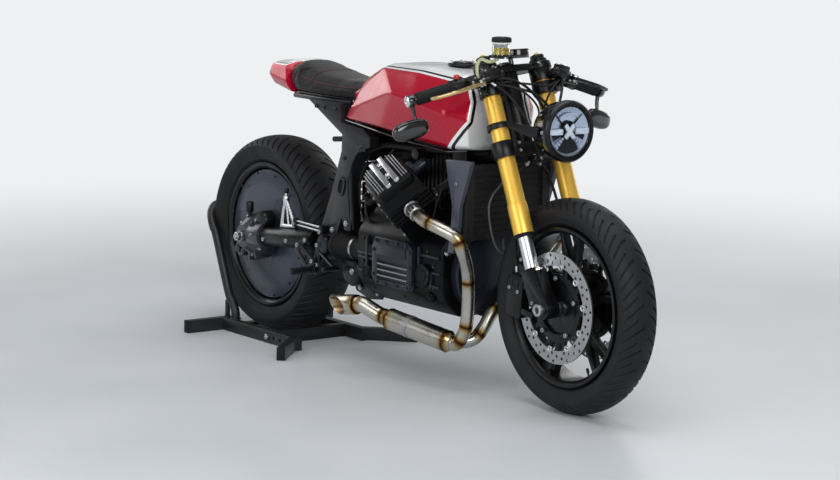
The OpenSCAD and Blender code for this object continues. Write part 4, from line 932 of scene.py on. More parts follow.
# %% Stuffed seat
SEAT_FLOOR = 795
SEAT = [
    [(-1268, 88, SEAT_FLOOR), (-1286, 98, 820), (-1314, 80, 858), (-1328, 40, 872)],
    [(-1230, 100, SEAT_FLOOR), (-1240, 112, 825), (-1264, 88, 866), (-1275, 45, 882)],
    [(-1140, 108, SEAT_FLOOR), (-1140, 118, 815), (-1150, 96, 845), (-1150, 50, 853)],
    [(-1040, 104, SEAT_FLOOR), (-1040, 114, 812), (-1040, 90, 832), (-1040, 50, 838)],
    [(-932, 84, SEAT_FLOOR), (-924, 90, 812), (-900, 70, 836), (-892, 40, 842)],
]
# Suede: no gloss, a soft pale bloom where the nap turns to the light.
SUEDE = finish("black_suede", "#131215", 0.92, grain=0.9, mottle=0.25, relief=0.25)
for key, value in (("Sheen Weight", 0.2), ("Sheen Roughness", 0.45), ("Specular IOR Level", 0.25)):
    parts_of(SUEDE)[1].inputs[key].default_value = value
places, cells = grid_surface(SEAT, 10, 8, 6, low_cap=3.0)
shrunk = [[Vector((p.x, p.y * 0.965, SEAT_FLOOR + (p.z - SEAT_FLOOR) * 0.955)) for p in row] for row in places]
pad = solid("seat_suede", *skin(closed_ends(shrunk, bulge=2.0)), SUEDE, FRONT, "chassis", "seat_pad", "seat_suede", 80)


def puffed(made):
    """Blows a closed skin up as cloth and keeps each point within a few millimetres of where it was."""
    voxel, pressure, frames, most = 6.0, 4.0, 20, 7.0
    shape = made.modifiers.new("even", "REMESH")
    shape.mode, shape.voxel_size = "VOXEL", voxel * MM
    bpy.context.view_layer.update()
    even = bake(made)
    start = [v.co.copy() for v in even.vertices]
    floor = min(p.z for p in start)
    held = made.vertex_groups.new(name="held")
    held.add([i for i, p in enumerate(start) if p.z < floor + 5 * MM], 1.0, "REPLACE")
    cloth = made.modifiers.new("cover", "CLOTH")
    set_to = cloth.settings
    set_to.quality = 6
    set_to.mass = 0.25
    set_to.tension_stiffness = set_to.compression_stiffness = 14
    set_to.bending_stiffness = 1.5
    set_to.use_pressure = True
    set_to.uniform_pressure_force = pressure
    set_to.effector_weights.gravity = 0
    set_to.vertex_group_mass = "held"
    cloth.collision_settings.use_collision = False
    cloth.point_cache.frame_start, cloth.point_cache.frame_end = 1, frames
    for number in range(1, frames + 1):
        bpy.context.scene.frame_set(number)
    blown = made.evaluated_get(bpy.context.evaluated_depsgraph_get()).to_mesh()
    ends = [v.co.copy() for v in blown.vertices]
    bpy.context.scene.frame_set(1)
    made.modifiers.clear()
    made.vertex_groups.clear()
    for v, a, b in zip(even.vertices, start, ends):
        step = b - a
        v.co = a + (step if step.length < most * MM else step.normalized() * most * MM)
    finer = made.modifiers.new("finer", "SUBSURF")
    finer.levels = finer.render_levels = 1
    bake(made)
    return fit(made, SUEDE, "chassis", smooth=80)


puffed(pad)
# The red lip that closes the front of the seat against the tank
edge = SEAT[-1]
lip = [[(x + p[0] - edge[0][0], s * (p[1] + grow), p[2] + rise)
        for s, half in ((-1, edge), (1, edge[::-1])) for p in half]
       for x, grow, rise in ((-938, 2, 1), (-938, 8, 4), (-914, 7, 4), (-908, 2, 1))]
front_lip = edged(solid("seat_front_lip", *skin(lip), TAIL_PAINT, FRONT, "chassis"), 2.0)
store(front_lip, "paint", [-5.0] * len(front_lip.data.vertices))
print("seat faces", len(pad.data.polygons))

# %% [markdown]
# ## Fork
# Gold anodised outer tubes, chromed sliders, black feet and clamps. The tubes are turned on a lathe here, because
# their long edges are near the eye. Dust seals, caps and pinch screws are what shows that a fork is a real one.

# %% Fork legs
def on_legs(shape):
    """A shape set on both fork legs."""
    return together(*[moved(shape, shift(LEG_X, s * LEG_Y, 0)) for s in SIDES])


gold_profile = [(20.9, 222), (28.5, 222), (28.5, 300), (27.4, 308), (25.6, 314), (25.5, 713), (20.6, 713)]
solid("fork_gold_tubes", *on_legs(lathe(gold_profile, 56, "Z")), GOLD, STEER, "steering", "fork_tubes", "fork_gold", 30)
slider_profile = [(10, 122), (20.5, 122), (20.5, 221.6), (10, 221.6)]
solid("fork_chrome_sliders", *on_legs(lathe(slider_profile, 48, "Z")), CHROME, STEER, "steering", "fork_sliders",
      "slider_chrome", 30)
seal_profile = [(20.6, 212), (24.5, 212), (27.2, 215), (27.6, 221.8), (20.6, 221.8), (20.6, 212)]
solid("fork_dust_seals", *on_legs(lathe(seal_profile, 48, "Z")), SOFT_RUBBER, STEER, "steering")
cap_profile = [(9, 713), (25.5, 713), (25.5, 721), (24, 722.5), (20.6, 722.5), (20.6, 733), (19, 735), (0.5, 735)]
solid("fork_caps", *on_legs(lathe(cap_profile, 40, "Z")), SATIN_BLACK, STEER, "steering")
set_units("fork_adjusters", spots_at(STEER, [((LEG_X, s * LEG_Y, 734.8), (0, 0, 1)) for s in SIDES]), 8.5,
          YELLOW_ZINC, "steering", NUT_HEAD)
dressed("fork_feet", SATIN_BLACK, 2.4)
DAMPER_X = LEG_X + 27
blocks = together(*[box_shape((LEG_X + 8, s * LEG_Y - 15, 36), (LEG_X + 45, s * LEG_Y + 15, 110)) for s in SIDES])
edged(solid("fork_damper_blocks", *blocks, SATIN_BLACK, STEER, "steering"), 2.4)
damper_cap = lathe([(0.5, 110), (11.5, 110), (12.5, 111), (12.5, 116.5), (11.5, 117.5), (0.5, 117.5)], 28, "Z")
solid("fork_damper_caps", *together(*[moved(damper_cap, shift(DAMPER_X, s * LEG_Y, 0)) for s in SIDES]), POLISHED,
      STEER, "steering")
set_units("fork_damper_screws", spots_at(STEER, [((DAMPER_X, s * LEG_Y, 117.3), (0, 0, 1)) for s in SIDES]), 5.5,
          YELLOW_ZINC, "steering", NUT_HEAD)
dressed("bottom_clamp", SATIN_BLACK, 2.0)
dressed("top_clamp", SATIN_BLACK, 2.0)
dressed("front_axle", STEEL, 1.0)
screws = []
for s in SIDES:
    screws += [((LEG_X + 37, s * (LEG_Y - 27), z), (1, 0, 0)) for z in (452, 474)]
    screws.append(((LEG_X + 34, s * (LEG_Y - 27), 702), (1, 0, 0)))
set_units("clamp_screws", spots_at(STEER, screws), 5.0, STEEL, "steering")
feet = [((26, s * 118, z), (0, s, 0)) for s in SIDES for z in (6, 28)]
set_units("foot_pinch_screws", spots_at(STEER, feet), 4.6, STEEL, "steering")
print("fork dressed")

# %% [markdown]
# ## Brake calipers
# Each caliper is a milled block with pistons inside. Its outer face has the bridge screws and the pistons' caps.

# %% Calipers
dressed("brake_calipers", SATIN_BLACK, 3.0)
CALIPER_AT, CALIPER_R = math.radians(150), 150
bolts, pistons = [], []
for s in SIDES:
    for along in (-44, 44):
        a = CALIPER_AT + along / CALIPER_R
        bolts += [((r * math.cos(a), s * 99.5, r * math.sin(a)), (0, s, 0)) for r in (130, 168)]
    for along in (-24, 24):
        a = CALIPER_AT + along / CALIPER_R
        pistons.append(((CALIPER_R * math.cos(a), s * 99.4, CALIPER_R * math.sin(a)), (0, s, 0)))
set_units("caliper_screws", spots_at(FRONT_WHEEL, bolts), 5.2, STEEL, "steering")
PISTON_CAP = unit_object("piston_cap", lathe(
    [(1.0, 0), (1.0, 0.14), (0.92, 0.2), (0.74, 0.2), (0.7, 0.08), (0.05, 0.08)], 32, "Z"))
set_units("caliper_caps", spots_at(FRONT_WHEEL, pistons), 15.0, SATIN_BLACK, "steering", PISTON_CAP)
print("calipers dressed")

# %% [markdown]
# ## Headlamp
# A black bowl, a thin rim and a clear lens. Behind the glass is a flat reflector with a bright bar across it and a
# small crossed shade in the middle; the sectors above and below are dark mirrors. They are real pieces set behind
# the glass, so they shift against each other when the lamp turns.

# %% Lamp shell and lens
dressed("headlamp_shell", GLOSS_BLACK, 1.5, smooth=30)
dressed("headlamp_bracket", SATIN_BLACK, 1.5)
LAMP = FRONT @ shift(-38, 0, 780)
low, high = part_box("headlamp_lens")
print("lens box", tuple(round(v * 1000) for v in low), tuple(round(v * 1000) for v in high))


def clear(name, colour, rough=0.02, bend=1.45, through=1.0):
    """Clear plastic or fluid: bends the view a little and carries a sharp highlight."""
    made = finish(name, colour, rough, grain=3.0, mottle=0.02, relief=0.001)
    shader = parts_of(made)[1]
    shader.inputs["Transmission Weight"].default_value = through
    shader.inputs["IOR"].default_value = bend
    return made


LENS = clear("clear_polycarbonate", "#eef4fa", bend=1.16)
LAMP_MIRROR = finish("lamp_reflector_chrome", "#d3d8e6", 0.3, metal=1.0, grain=1.5, mottle=0.05, relief=0.004)
LAMP_DARK = finish("lamp_dark_mirror", "#14161a", 0.22, metal=0.8, grain=1.5, mottle=0.06, relief=0.004)
# The light bar is a milky diffuser.
LAMP_WHITE = finish("milky_diffuser", "#f4f7fb", 0.35, coat=0.3, grain=2.0, mottle=0.02, relief=0.002)
glass = lathe([(0.4, 9), (14.7, 8.8), (40.4, 6.5), (62.4, 2.2), (73.2, -3), (73.2, -6), (70.8, -6), (70.8, -3.2),
               (61.5, 0), (40, 4.2), (14.7, 6.5), (0.4, 6.6)], 72, "X")
solid("headlamp_glass", *glass, LENS, LAMP, "steering", "headlamp_lens", "lamp_glass", 50)
bowl = lathe([(0.4, -15.2), (30, -14.6), (50, -12.6), (66, -9), (72.4, -5.5), (72.4, -15.9), (0.4, -15.9)], 72, "X")
solid("lamp_bowl", *bowl, LAMP_MIRROR, LAMP, "steering", smooth=40)


def wedge(inner, outer, start, end, x0, x1, steps=12):
    """A plate with the outline of a ring sector, across the lamp."""
    arc = [math.radians(start + (end - start) * k / steps) for k in range(steps + 1)]
    line = [(r * math.cos(a), r * math.sin(a)) for r, run in ((inner, arc), (outer, arc[::-1])) for a in run]
    return skin([[(x, y, z) for y, z in line] for x in (x0, x1)])


dark = together(wedge(10, 30, 66, 114, -14.6, -9.5), wedge(14, 60, 234, 306, -13, -8),
                wedge(20, 58, 190, 206, -12, -9.5), wedge(20, 58, 334, 350, -12, -9.5),
                wedge(68, 72, 0, 360, -12, -5, 60), wedge(20, 68, 44, 47, -13, -9), wedge(20, 68, 133, 136, -13, -9),
                *[moved(box_shape((-12, -26, -10), (-6.2 + 0.005 * t, 26, 10)), turn("X", t)) for t in (50, -50)])
solid("lamp_dark_sectors", *dark, LAMP_DARK, LAMP, "steering")
ribs = [wedge(26 + 10 * k, 31 + 10 * k, start, start + 16, -12, -7) for start in (214, 310) for k in range(4)]
ribs.append(wedge(48, 51, 50, 130, -11, -7))
solid("lamp_bright_ribs", *together(*ribs), LAMP_MIRROR, LAMP, "steering")
bar = together(box_shape((-11, -70, -8), (-5, -23, 8)), box_shape((-11, 23, -8), (-5, 70, 8)),
               *[moved(box_shape((-9, -23, -6), (-2.4 + 0.005 * t, 23, 6)), turn("X", t)) for t in (50, -50)])
solid("lamp_light_bar", *bar, LAMP_WHITE, LAMP, "steering")
rim = lathe([(73.6, -2), (82, 0.4), (86.4, -6), (86.4, -9), (84.8, -9), (80, -2.5), (73.6, -3.4), (73.6, -2)], 72, "X")
solid("headlamp_rim", *rim, SATIN_BLACK, LAMP, "steering", smooth=40)
set_units("headlamp_screws", spots_at(LAMP, [((-16, s * 86.4, 0), (0, s, 0)) for s in SIDES]), 5.0, STEEL, "steering")
print("lamp dressed")

# %% [markdown]
# ## Bars and controls
# Clip-on bars carry finely ribbed grips, switch housings, a red button, milled levers with slots, and mirrors hung
# under the bar ends. The levers are flat shapes: an outline with holes, filled and given thickness.

# %% Levers, grips and bar ends
dressed("handlebars", SATIN_BLACK, 1.2)
# Split clamp rings carry the bars under the top clamp, each with an ear and two pinch screws
ring_profile = [(25.7, 618), (33, 618), (34.5, 620), (34.5, 652), (33, 654), (25.7, 654), (25.7, 618)]
rings, pinches = [], []
for s in SIDES:
    leg, ear = shift(LEG_X, s * LEG_Y, 0), turn("Z", s * 60)
    rings.append(moved(lathe(ring_profile, 48, "Z"), leg))
    rings.append(moved(box_shape((26, -9, 622), (52, 9, 650)), leg @ ear))
    pinches += [(leg @ ear @ Vector((44, s * 9, z)), ear @ Vector((0, s, 0))) for z in (629, 643)]
edged(solid("clip_on_rings", *together(*rings), SATIN_BLACK, STEER, "steering", smooth=40), 1.6)
set_units("clip_on_screws", spots_at(STEER, pinches), 4.2, STEEL, "steering")


def master_place(side):
    """Where a master cylinder lies: along the bar, with a cap at its inner end."""
    return bar_place(side) @ shift(4, -side * 33, 4)


barrel = lathe([(0.5, -22), (9, -22), (10, -20), (10, -14), (15, -12), (16, -10), (16, 44), (15, 46), (0.5, 46)], 32,
               "X")
master = together(barrel, box_shape((-4, -14, 8), (38, 14, 24)))
masters = together(*[moved(master, master_place(s)) for s in SIDES])
edged(solid("master_cylinders", *masters, SATIN_BLACK, METRES, "steering"), 1.4)
lid_screws = [((x, y, 24), (0, 0, 1)) for x in (1, 33) for y in (-9, 9)]
set_units("master_screws", [spot for s in SIDES for spot in spots_at(master_place(s), lid_screws)], 3.2, STEEL,
          "steering")
LEVER = [(0, 46.5), (16, 46.3), (30, 47), (46, 56.5), (68, 61.5), (90, 64), (112, 63), (132, 59.5), (150, 52.5),
         (160, 48.2), (166.5, 49.5), (167.6, 55), (163, 63), (148, 67.5), (130, 72.2), (108, 76), (88, 77.6), (60, 76),
         (34, 71.5), (14, 67), (0, 63.6)]
LEVER_SLOTS = [slot_line(38, 61.5, 46, 64, 2.6), slot_line(56, 67.5, 64, 69, 2.8), slot_line(74, 70.6, 84, 71.4, 2.8),
               slot_line(98, 70.6, 108, 69.5, 2.4)]
for side, tag, coat in ((-1, "right", BRONZE), (1, "left", SATIN_BLACK)):
    outline, *cuts = [[(x, -side * y) for x, y in ring] for ring in [LEVER] + LEVER_SLOTS]
    blade = solid("lever_blade_" + tag, *flat_shape(outline, cuts, -4.4, 4.4), coat, bar_place(side) @ shift(52, 0, 0),
                  "steering", "levers" if side < 0 else None, "lever_bronze")
    edged(blade, 1.3, 2, 50)


def at_bars(shape):
    """A shape set on both bars, in metres."""
    return together(*[moved(shape, bar_place(s)) for s in SIDES])


grip_profile = [(11.3, 128), (21.6, 128), (22, 129), (22, 131), (20.4, 133.4), (17.6, 136)]
for k in range(22):
    x = 138 + k * 4.3
    grip_profile += [(17.4, x), (17.9, x + 0.5), (17.9, x + 3.6), (17.4, x + 4.1)]
grip_profile += [(18.4, 235), (17.6, 238.5), (15, 240), (11.3, 240)]
solid("grip_sleeves", *at_bars(lathe(grip_profile, 40, "X")), SOFT_RUBBER, METRES, "steering", "grips", "grip_rubber",
      50)
plug_profile = [(0.4, 264.2), (15.2, 264.2), (15.8, 265), (15.8, 268), (14, 270), (8, 270), (7, 268.6), (0.4, 268.6)]
solid("bar_end_plugs", *at_bars(lathe(plug_profile, 40, "X")), POLISHED, METRES, "steering")

# %% Switches and screws
dressed("controls", PLASTIC, 3.2, segments=3)
button = lathe([(0.4, 14), (6, 13.8), (8.2, 12.4), (8.8, 10), (8.8, 2), (0.4, 2)], 28, "Z")
solid("red_button", *moved(button, bar_place(-1) @ shift(108, 0, 18.5)), RED_PLASTIC, METRES, "steering")
small = []
for side in SIDES:
    here = bar_place(side)
    small.append(moved(box_shape((96, -6, 19), (103, 6, 25)), here))
    small.append(moved(lathe([(0.4, 5), (4.6, 4.6), (5, 4), (5, 0), (0.4, 0)], 20, "Z"), here @ shift(116, 8, 19)))
edged(solid("switch_keys", *together(*small), PLASTIC, METRES, "steering"), 0.8)
for side in SIDES:
    screws = [((x, -side * 46, z), (0, -side, 0)) for x in (50, 83) for z in (-8, 8)]
    screws += [((67, -side * 30, 13), (0, 0, 1)), ((96, side * 18.5, 10), (0, side * 0.9, 0.4))]
    set_units("control_screws_" + ("left" if side > 0 else "right"), spots_at(bar_place(side), screws), 3.6, STEEL,
              "steering")
pivots = []
for side in SIDES:
    pivots += spots_at(bar_place(side) @ shift(52, 0, 0),
                       [((10, -side * 55, way * 4.4), (0, 0, way)) for way in (1, -1)])
set_units("lever_pivots", pivots, 6.2, STEEL, "steering", NUT_HEAD)
print("controls dressed")

# %% [markdown]
# ## Mirrors, fluid pot and dial
# The mirrors are thin shells with a silvered glass on the rider's side. The fluid pot is clear, so the yellow
# fluid shows in it, and its knurled cap is black. A small round dial sits over the top clamp.

# %% Mirrors
def mirror_ring(side, share, depth):
    """The mirror's oval at a share of its size, a depth ahead of its middle plane."""
    across, high, count = 55, 28, 56
    ring = []
    for k in range(count):
        c, s = math.cos(math.tau * k / count), math.sin(math.tau * k / count)
        ring.append((276 + across * share * math.copysign(abs(c) ** 0.8, c), -side * (6 + depth),
                     -78 + high * share * math.copysign(abs(s) ** 0.85, s)))
    return ring


# Rings of the shell and of its glass, each as (share of the size, depth)
MIRROR_SHELL = ((0.3, -8.6), (0.94, -8.6), (0.97, -10), (1.0, -8.4), (1.0, -4), (0.97, 2), (0.86, 6.6), (0.6, 9.2),
                (0.3, 10), (0.04, 10.1))
MIRROR_PANE = ((0.3, -8.5), (0.92, -8.5), (0.92, -9.4), (0.3, -9.5))
mirror_clamp = lathe([(0.4, 248.6), (16.2, 248.6), (17, 249.6), (17, 263), (16.2, 264), (0.4, 264)], 40, "X")
shells, panes = [], []
for side in SIDES:
    stalk = tube([(256, 0, -12), (256, -side * 2, -34), (258, -side * 6, -56)], lambda t: 6.5 - 1.5 * t, 20, 4)
    shell = skin([mirror_ring(side, share, depth) for share, depth in MIRROR_SHELL])
    shells.append(moved(together(shell, mirror_clamp, stalk), bar_place(side)))
    panes.append(moved(skin([mirror_ring(side, share, depth) for share, depth in MIRROR_PANE]), bar_place(side)))
solid("mirror_shells", *together(*shells), GLOSS_BLACK, METRES, "steering", "mirrors", "control_black", 50)
MIRROR = finish("silvered_glass", "#d5dade", 0.04, metal=1.0, grain=4.0, mottle=0.01, relief=0.0005)
solid("mirror_glass", *together(*panes), MIRROR, METRES, "steering")

# %% Fluid pot
POT = STEER @ shift(120, -103, 709.3) @ turn("Y", RAKE)
CLEAR_POT = clear("clear_pot_plastic", "#f0f2ee", 0.05)
FLUID = clear("yellow_brake_fluid", "#d9bf1a", 0.08, 1.4, 0.35)
pot = lathe([(0.4, 0), (24, 0), (25, 1.2), (25, 41), (22.6, 41), (22.6, 3), (0.4, 3)], 48, "Z")
solid("fluid_pot", *pot, CLEAR_POT, POT, "steering", "brake_reservoir", "pot_plastic", 40)
solid("brake_fluid", *lathe([(0.4, 3.3), (22.2, 3.3), (22.2, 25), (0.4, 25)], 48, "Z"), FLUID, POT, "steering")
CAP_PROFILE = ((22, 40), (27, 40), (27, 50), (26, 53), (21, 54), (20, 53.2), (0.5, 53.2))
knurled = []
for r, z in CAP_PROFILE:
    # The widest part carries the ridges of the grip: two points out, two points in
    reach = [r + (0.9 if r == 27 and k % 4 < 2 else 0.0) for k in range(96)]
    knurled.append([(q * math.cos(math.tau * k / 96), q * math.sin(math.tau * k / 96), z) for k, q in enumerate(reach)])
solid("pot_cap", *skin(knurled), PLASTIC, POT, "steering", smooth=30)
foot = lathe([(0.4, -6), (9, -6), (10, -4), (10, 0), (25.6, 0), (25.6, 5.5), (24.9, 5.5), (24.9, 0.2), (0.4, 0.2)],
             40, "Z")
solid("pot_foot", *foot, SATIN_BLACK, POT, "steering")
post = tube([(61.5, -103, 712), (61.5, -103, 722), (72, -103, 726), (96, -103, 716), (116, -103, 708)], 4.2, 14, 4)
solid("pot_post", *post, SATIN_BLACK, STEER, "steering")
HOSE_CLEAR = clear("clear_fluid_hose", "#dfe3b8", 0.1, 1.4, 0.55)
feed = tube([(112, -108, 706), (104, -132, 700), (92, -152, 712), (82, -162, 700), (76, -164, 676), (74, -160, 662)],
            4.6, 14, 4)
solid("pot_feed_hose", *feed, HOSE_CLEAR, STEER, "steering")

# %% Dial
dressed("gauge", GLOSS_BLACK, 2.0)
DIAL = STEER @ shift(63, 0, 720.3) @ turn("Y", RAKE - 8)
dial_rim = lathe([(29, 21.5), (33.6, 21.5), (33.6, 24), (32, 25.4), (30, 25), (29, 23.4), (29, 21.5)], 48, "Z")
solid("dial_rim", *dial_rim, SATIN_BLACK, DIAL, "steering")
DIAL_FACE = finish("dial_card", "#101114", 0.6, grain=1.0, mottle=0.05, relief=0.002)
solid("dial_face", *lathe([(0.4, 22.5), (29, 22.5), (29, 21.8), (0.4, 21.8)], 48, "Z"), DIAL_FACE, DIAL, "steering")
FIRST_MARK = 215
marks = [moved(box_shape((20, -0.7, 22.5), (26, 0.7, 22.8)), turn("Z", FIRST_MARK - 25 * k)) for k in range(11)]
marks.append(moved(box_shape((-4, -0.8, 23), (19, 0.8, 23.4)), turn("Z", FIRST_MARK)))
solid("dial_marks", *together(*marks), LAMP_WHITE, DIAL, "steering")
print("mirrors, pot and dial done")

# %% [markdown]
# ## Hoses and cables
# Brake hoses and control cables are flexible, so they hang in smooth bends. Each is a tube along a curve through a
# few points; the ends carry pressed metal fittings.

# %% Brake hoses
HOSE_SIDE = [(-45, 88, 133), (-38, 86, 180), (-12, 84, 260), (-8, 80, 330), (2, 64, 390), (18, 36, 416), (26, 13, 427)]
HOSE_UP = [(50, -8, 427), (74, -18, 430), (94, -32, 470), (94, -50, 540), (86, -84, 612), (74, -122, 650)]
runs = [HOSE_SIDE, [(x, -y, z) for x, y, z in HOSE_SIDE], HOSE_UP]
solid("brake_hose_runs", *together(*[tube(run, 4.0, 16, 6) for run in runs]), HOSE, STEER, "steering", "brake_hoses",
      "control_black", 60)
fittings = []
for run in runs:
    for a, b in ((run[0], run[1]), (run[-1], run[-2])):
        start, ahead = Vector(a), (Vector(b) - Vector(a)).normalized()
        fittings.append(tube([start, start + ahead * 8, start + ahead * 16], 5.4, 16, 4))
solid("hose_fittings", *together(*fittings), STEEL, STEER, "steering", smooth=30)
splitter = box_shape((23.4, -14.6, 417), (52.6, 14.6, 440.4))
edged(solid("hose_splitter", *splitter, SATIN_BLACK, STEER, "steering"), 2.0)
banjos = [((38, 0, 440.4), (0, 0, 1)), ((52.6, -8, 428), (1, 0, 0)), ((52.6, 8, 428), (1, 0, 0))]
set_units("banjo_bolts", spots_at(STEER, banjos), 5.5, STEEL, "steering", NUT_HEAD)

# %% Cables in front of the headstock
CABLES = [
    [(78, -126, 652), (104, -96, 650), (116, -40, 622), (112, 6, 566), (96, 22, 520), (92, 16, 494)],
    [(80, -118, 646), (98, -80, 640), (108, -20, 630), (106, 44, 622), (88, 96, 640), (78, 126, 652)],
    [(74, -132, 656), (92, -70, 628), (112, -10, 600), (116, 30, 548), (98, 34, 506)],
    [(80, 124, 650), (106, 80, 628), (116, 30, 586), (104, 2, 532), (94, -10, 498)],
    [(76, 130, 654), (112, 92, 610), (120, 60, 560), (104, 42, 512)],
    [(86, -110, 642), (122, -60, 606), (124, -20, 556), (104, -20, 508)],
]
cables = together(*[tube(run, 3.0 if k % 2 else 3.8, 12, 6) for k, run in enumerate(CABLES)])
solid("control_cables", *cables, HOSE, STEER, "steering", smooth=60)
print("cables", len(CABLES))

# %% [markdown]
# ## Engine
# An open engine is read from its edges and fasteners: finned heads, polished ribs on the valve covers, side covers
# with a ring of screws. The castings are the CAD parts with rounded edges. Screws are dropped onto them by casting
# rays at the metal, so each sits on the surface and stands square to it.

# %% Rays onto the metal
def drop(node, rays):
    """Where rays (start, way) in mm of the front frame meet a CAD part, each with the direction off the surface."""
    mesh = frame["nodes"][node].data
    field = BVHTree.FromPolygons([v.co for v in mesh.vertices], [tuple(p.vertices) for p in mesh.polygons])
    spots = []
    for start, way in rays:
        way = Vector(way).normalized()
        spot, off, _, _ = field.ray_cast(FRONT @ Vector(start), way)
        if spot is None:
            print("no surface on", node, "at", start)
            continue
        spots.append((spot, -off if off.dot(way) > 0 else off))
    return spots


def from_sides(node, places, sides=SIDES):
    """Spots on a part looked at from the right and the left, at (x, z) places."""
    reach = 450
    return drop(node, [((x, s * reach, z), (0, -s, 0)) for s in sides for x, z in places])

# %% Castings
dressed("crankcase", ENGINE_BLACK, 5.0, segments=3)
dressed("engine_covers", ENGINE_GREY, 2.0)
dressed("cylinders", ENGINE_BLACK, 1.4)
dressed("valve_covers", ENGINE_BLACK, 5.0, segments=3, smooth=45)
dressed("carburettors", ENGINE_GREY, 2.0)
cover_ring = [(-706, 378), (-694, 408), (-646, 409), (-590, 409), (-546, 408), (-528, 392), (-528, 346), (-528, 300),
              (-542, 283), (-590, 283), (-646, 283), (-690, 283), (-708, 304)]
set_units("side_cover_screws", from_sides("engine_covers", cover_ring), 5.2, DARK_ZINC, "chassis")
case_ring = [(-790, 400), (-790, 330), (-770, 250), (-470, 400), (-440, 360), (-440, 300), (-470, 250), (-620, 246),
             (-560, 246)]
set_units("crankcase_screws", from_sides("crankcase", case_ring), 4.6, DARK_ZINC, "chassis")
around = [math.tau * k / 10 for k in range(10)]
front_ring = [((0, 112 * math.cos(a), 340 + 112 * math.sin(a)), (-1, 0, 0)) for a in around]
set_units("front_cover_screws", drop("engine_covers", front_ring), 5.0, DARK_ZINC, "chassis")
lands, fins, noses = [], [], []
for side in SIDES:
    here = cylinder_place(side)
    lands += [moved(box_shape((-70, y - 8, 382.6), (92, y + 8, 394.4)), here) for y in (-14, 15)]
    noses.append(moved(box_shape((50, -57, 352), (98, 57, 383)), here))
    for y, start in ((34, -66), (42, -58), (50, -47)):
        fins += [moved(box_shape((start, s * y - 1.6, 382.6), (86, s * y + 1.6, 389)), here) for s in SIDES]
edged(solid("valve_cover_lands", *together(*lands), POLISHED, METRES, "chassis", "valve_cover_ribs"), 1.8, 3)
edged(solid("valve_cover_fins", *together(*fins), ALLOY, METRES, "chassis"), 0.8)
edged(solid("valve_cover_noses", *together(*noses), ENGINE_BLACK, METRES, "chassis"), 7.0, 4)
heads, nuts = [], []
for side in SIDES:
    here = cylinder_place(side)
    nuts += spots_at(here, [((x, 3, 383), (0, 0, 1)) for x in (-38, 36)])
    heads += spots_at(here, [((x, side * 66.2, z), (0, side, 0)) for x in (-50, 0, 50) for z in (262, 336)])
    heads += spots_at(here, [((x, side * 60.2, 205), (0, side, 0)) for x in (-44, 44)])
set_units("head_screws", heads, 5.0, STEEL, "chassis")
DOME_NUT = unit_object("dome_nut", skin([
    [(r * math.cos(math.tau * k / 24), r * math.sin(math.tau * k / 24), z) for k in range(24)]
    for r, z in ((1.15, 0), (1.15, 0.18), (0.9, 0.2), (0.9, 0.7), (0.8, 1.0), (0.5, 1.25), (0.1, 1.33))]))
set_units("cover_dome_nuts", nuts, 9.0, POLISHED, "chassis", DOME_NUT)

# %% [markdown]
# ## Cover plates and fittings
# The side cover carries a smooth raised plate over its ribs. The crankcase has round covers and cast ribs, and
# leads with rubber plug boots run from the engine up to the frame.

# %% Plates, caps and leads
cover_face = -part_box("engine_covers")[0].y / MM
bare = [side_box(s, -694, -548, cover_face - 1, cover_face + 2.2, 366, 402) for s in SIDES]
edged(solid("cover_bare_plates", *together(*bare), ENGINE_GREY, FRONT, "chassis"), 1.2)
ribs = [side_box(s, -688, -542, cover_face - 8.5, cover_face + 1.4, 302.6 + 17 * k, 306.4 + 17 * k)
        for s in SIDES for k in range(3)]
edged(solid("cover_edge_ribs", *together(*ribs), ALLOY, FRONT, "chassis"), 0.9)
round_bits = []
for x, z, r, h in ((-480, 330, 34, 16), (-760, 300, 22, 12), (-460, 268, 18, 10), (-744, 372, 16, 8)):
    shape = lathe([(0.5, h), (r * 0.5, h), (r * 0.56, h - 2), (r * 0.8, h - 2), (r * 0.9, h - 1), (r, h - 4), (r, -4),
                   (0.5, -4)], 40, "Z")
    round_bits += [moved(shape, in_mm(spot) @ facing(off)) for spot, off in from_sides("crankcase", [(x, z)])]
solid("case_round_covers", *together(*round_bits), ENGINE_BLACK, METRES, "chassis", smooth=30)
case_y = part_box("crankcase")[1].y / MM
# Each rib as x from and to, z from and to, and how far it stands out
CASE_RIBS = ((-812, -410, 338, 346, 5), (-512, -502, 296, 410, 9), (-500, -412, 384, 392, 7), (-812, -724, 352, 360, 7),
             (-768, -758, 296, 410, 9), (-452, -444, 296, 340, 8), (-812, -724, 300, 307, 6), (-470, -412, 300, 307, 6))
ribs = [side_box(s, x0, x1, case_y - 2, case_y + h, z0, z1) for s in SIDES for x0, x1, z0, z1, h in CASE_RIBS]
edged(solid("crankcase_ribs", *together(*ribs), ENGINE_GREY, FRONT, "chassis"), 1.5)
leads, boots = [], []
for side in SIDES:
    head = cylinder_place(side)
    base = FRONT.inverted() @ (head @ Vector((-30, side * 66, 318)))
    after = [(-640, side * 170, 596), (-650, side * 110, 640), (-640, side * 52, 662)]
    leads.append(tube([base, base + Vector((-20, side * 24, 6))] + after, 4.0, 12, 6))
    for radius, sides, run in (
            (5.5, 14, ((-780, 128, 430), (-800, 142, 470), (-806, 132, 540), (-790, 96, 610), (-770, 60, 664))),
            (3.4, 12, ((-470, 146, 470), (-452, 150, 520), (-440, 130, 590), (-430, 90, 650))),
            (3.0, 10, ((-842, 104, 420), (-862, 118, 470), (-868, 116, 560), (-852, 88, 650)))):
        leads.append(tube([(x, side * y, z) for x, y, z in run], radius, sides, 8))
    boots.append(moved(lathe([(0.5, 0), (13, 0), (13, 6), (9, 10), (8.4, 26), (6, 32), (0.5, 32)], 24, "Z"),
                       head @ shift(-30, side * 62, 318) @ turn("X", -side * 90)))
solid("engine_leads", *together(*leads), HOSE, FRONT, "chassis", smooth=60)
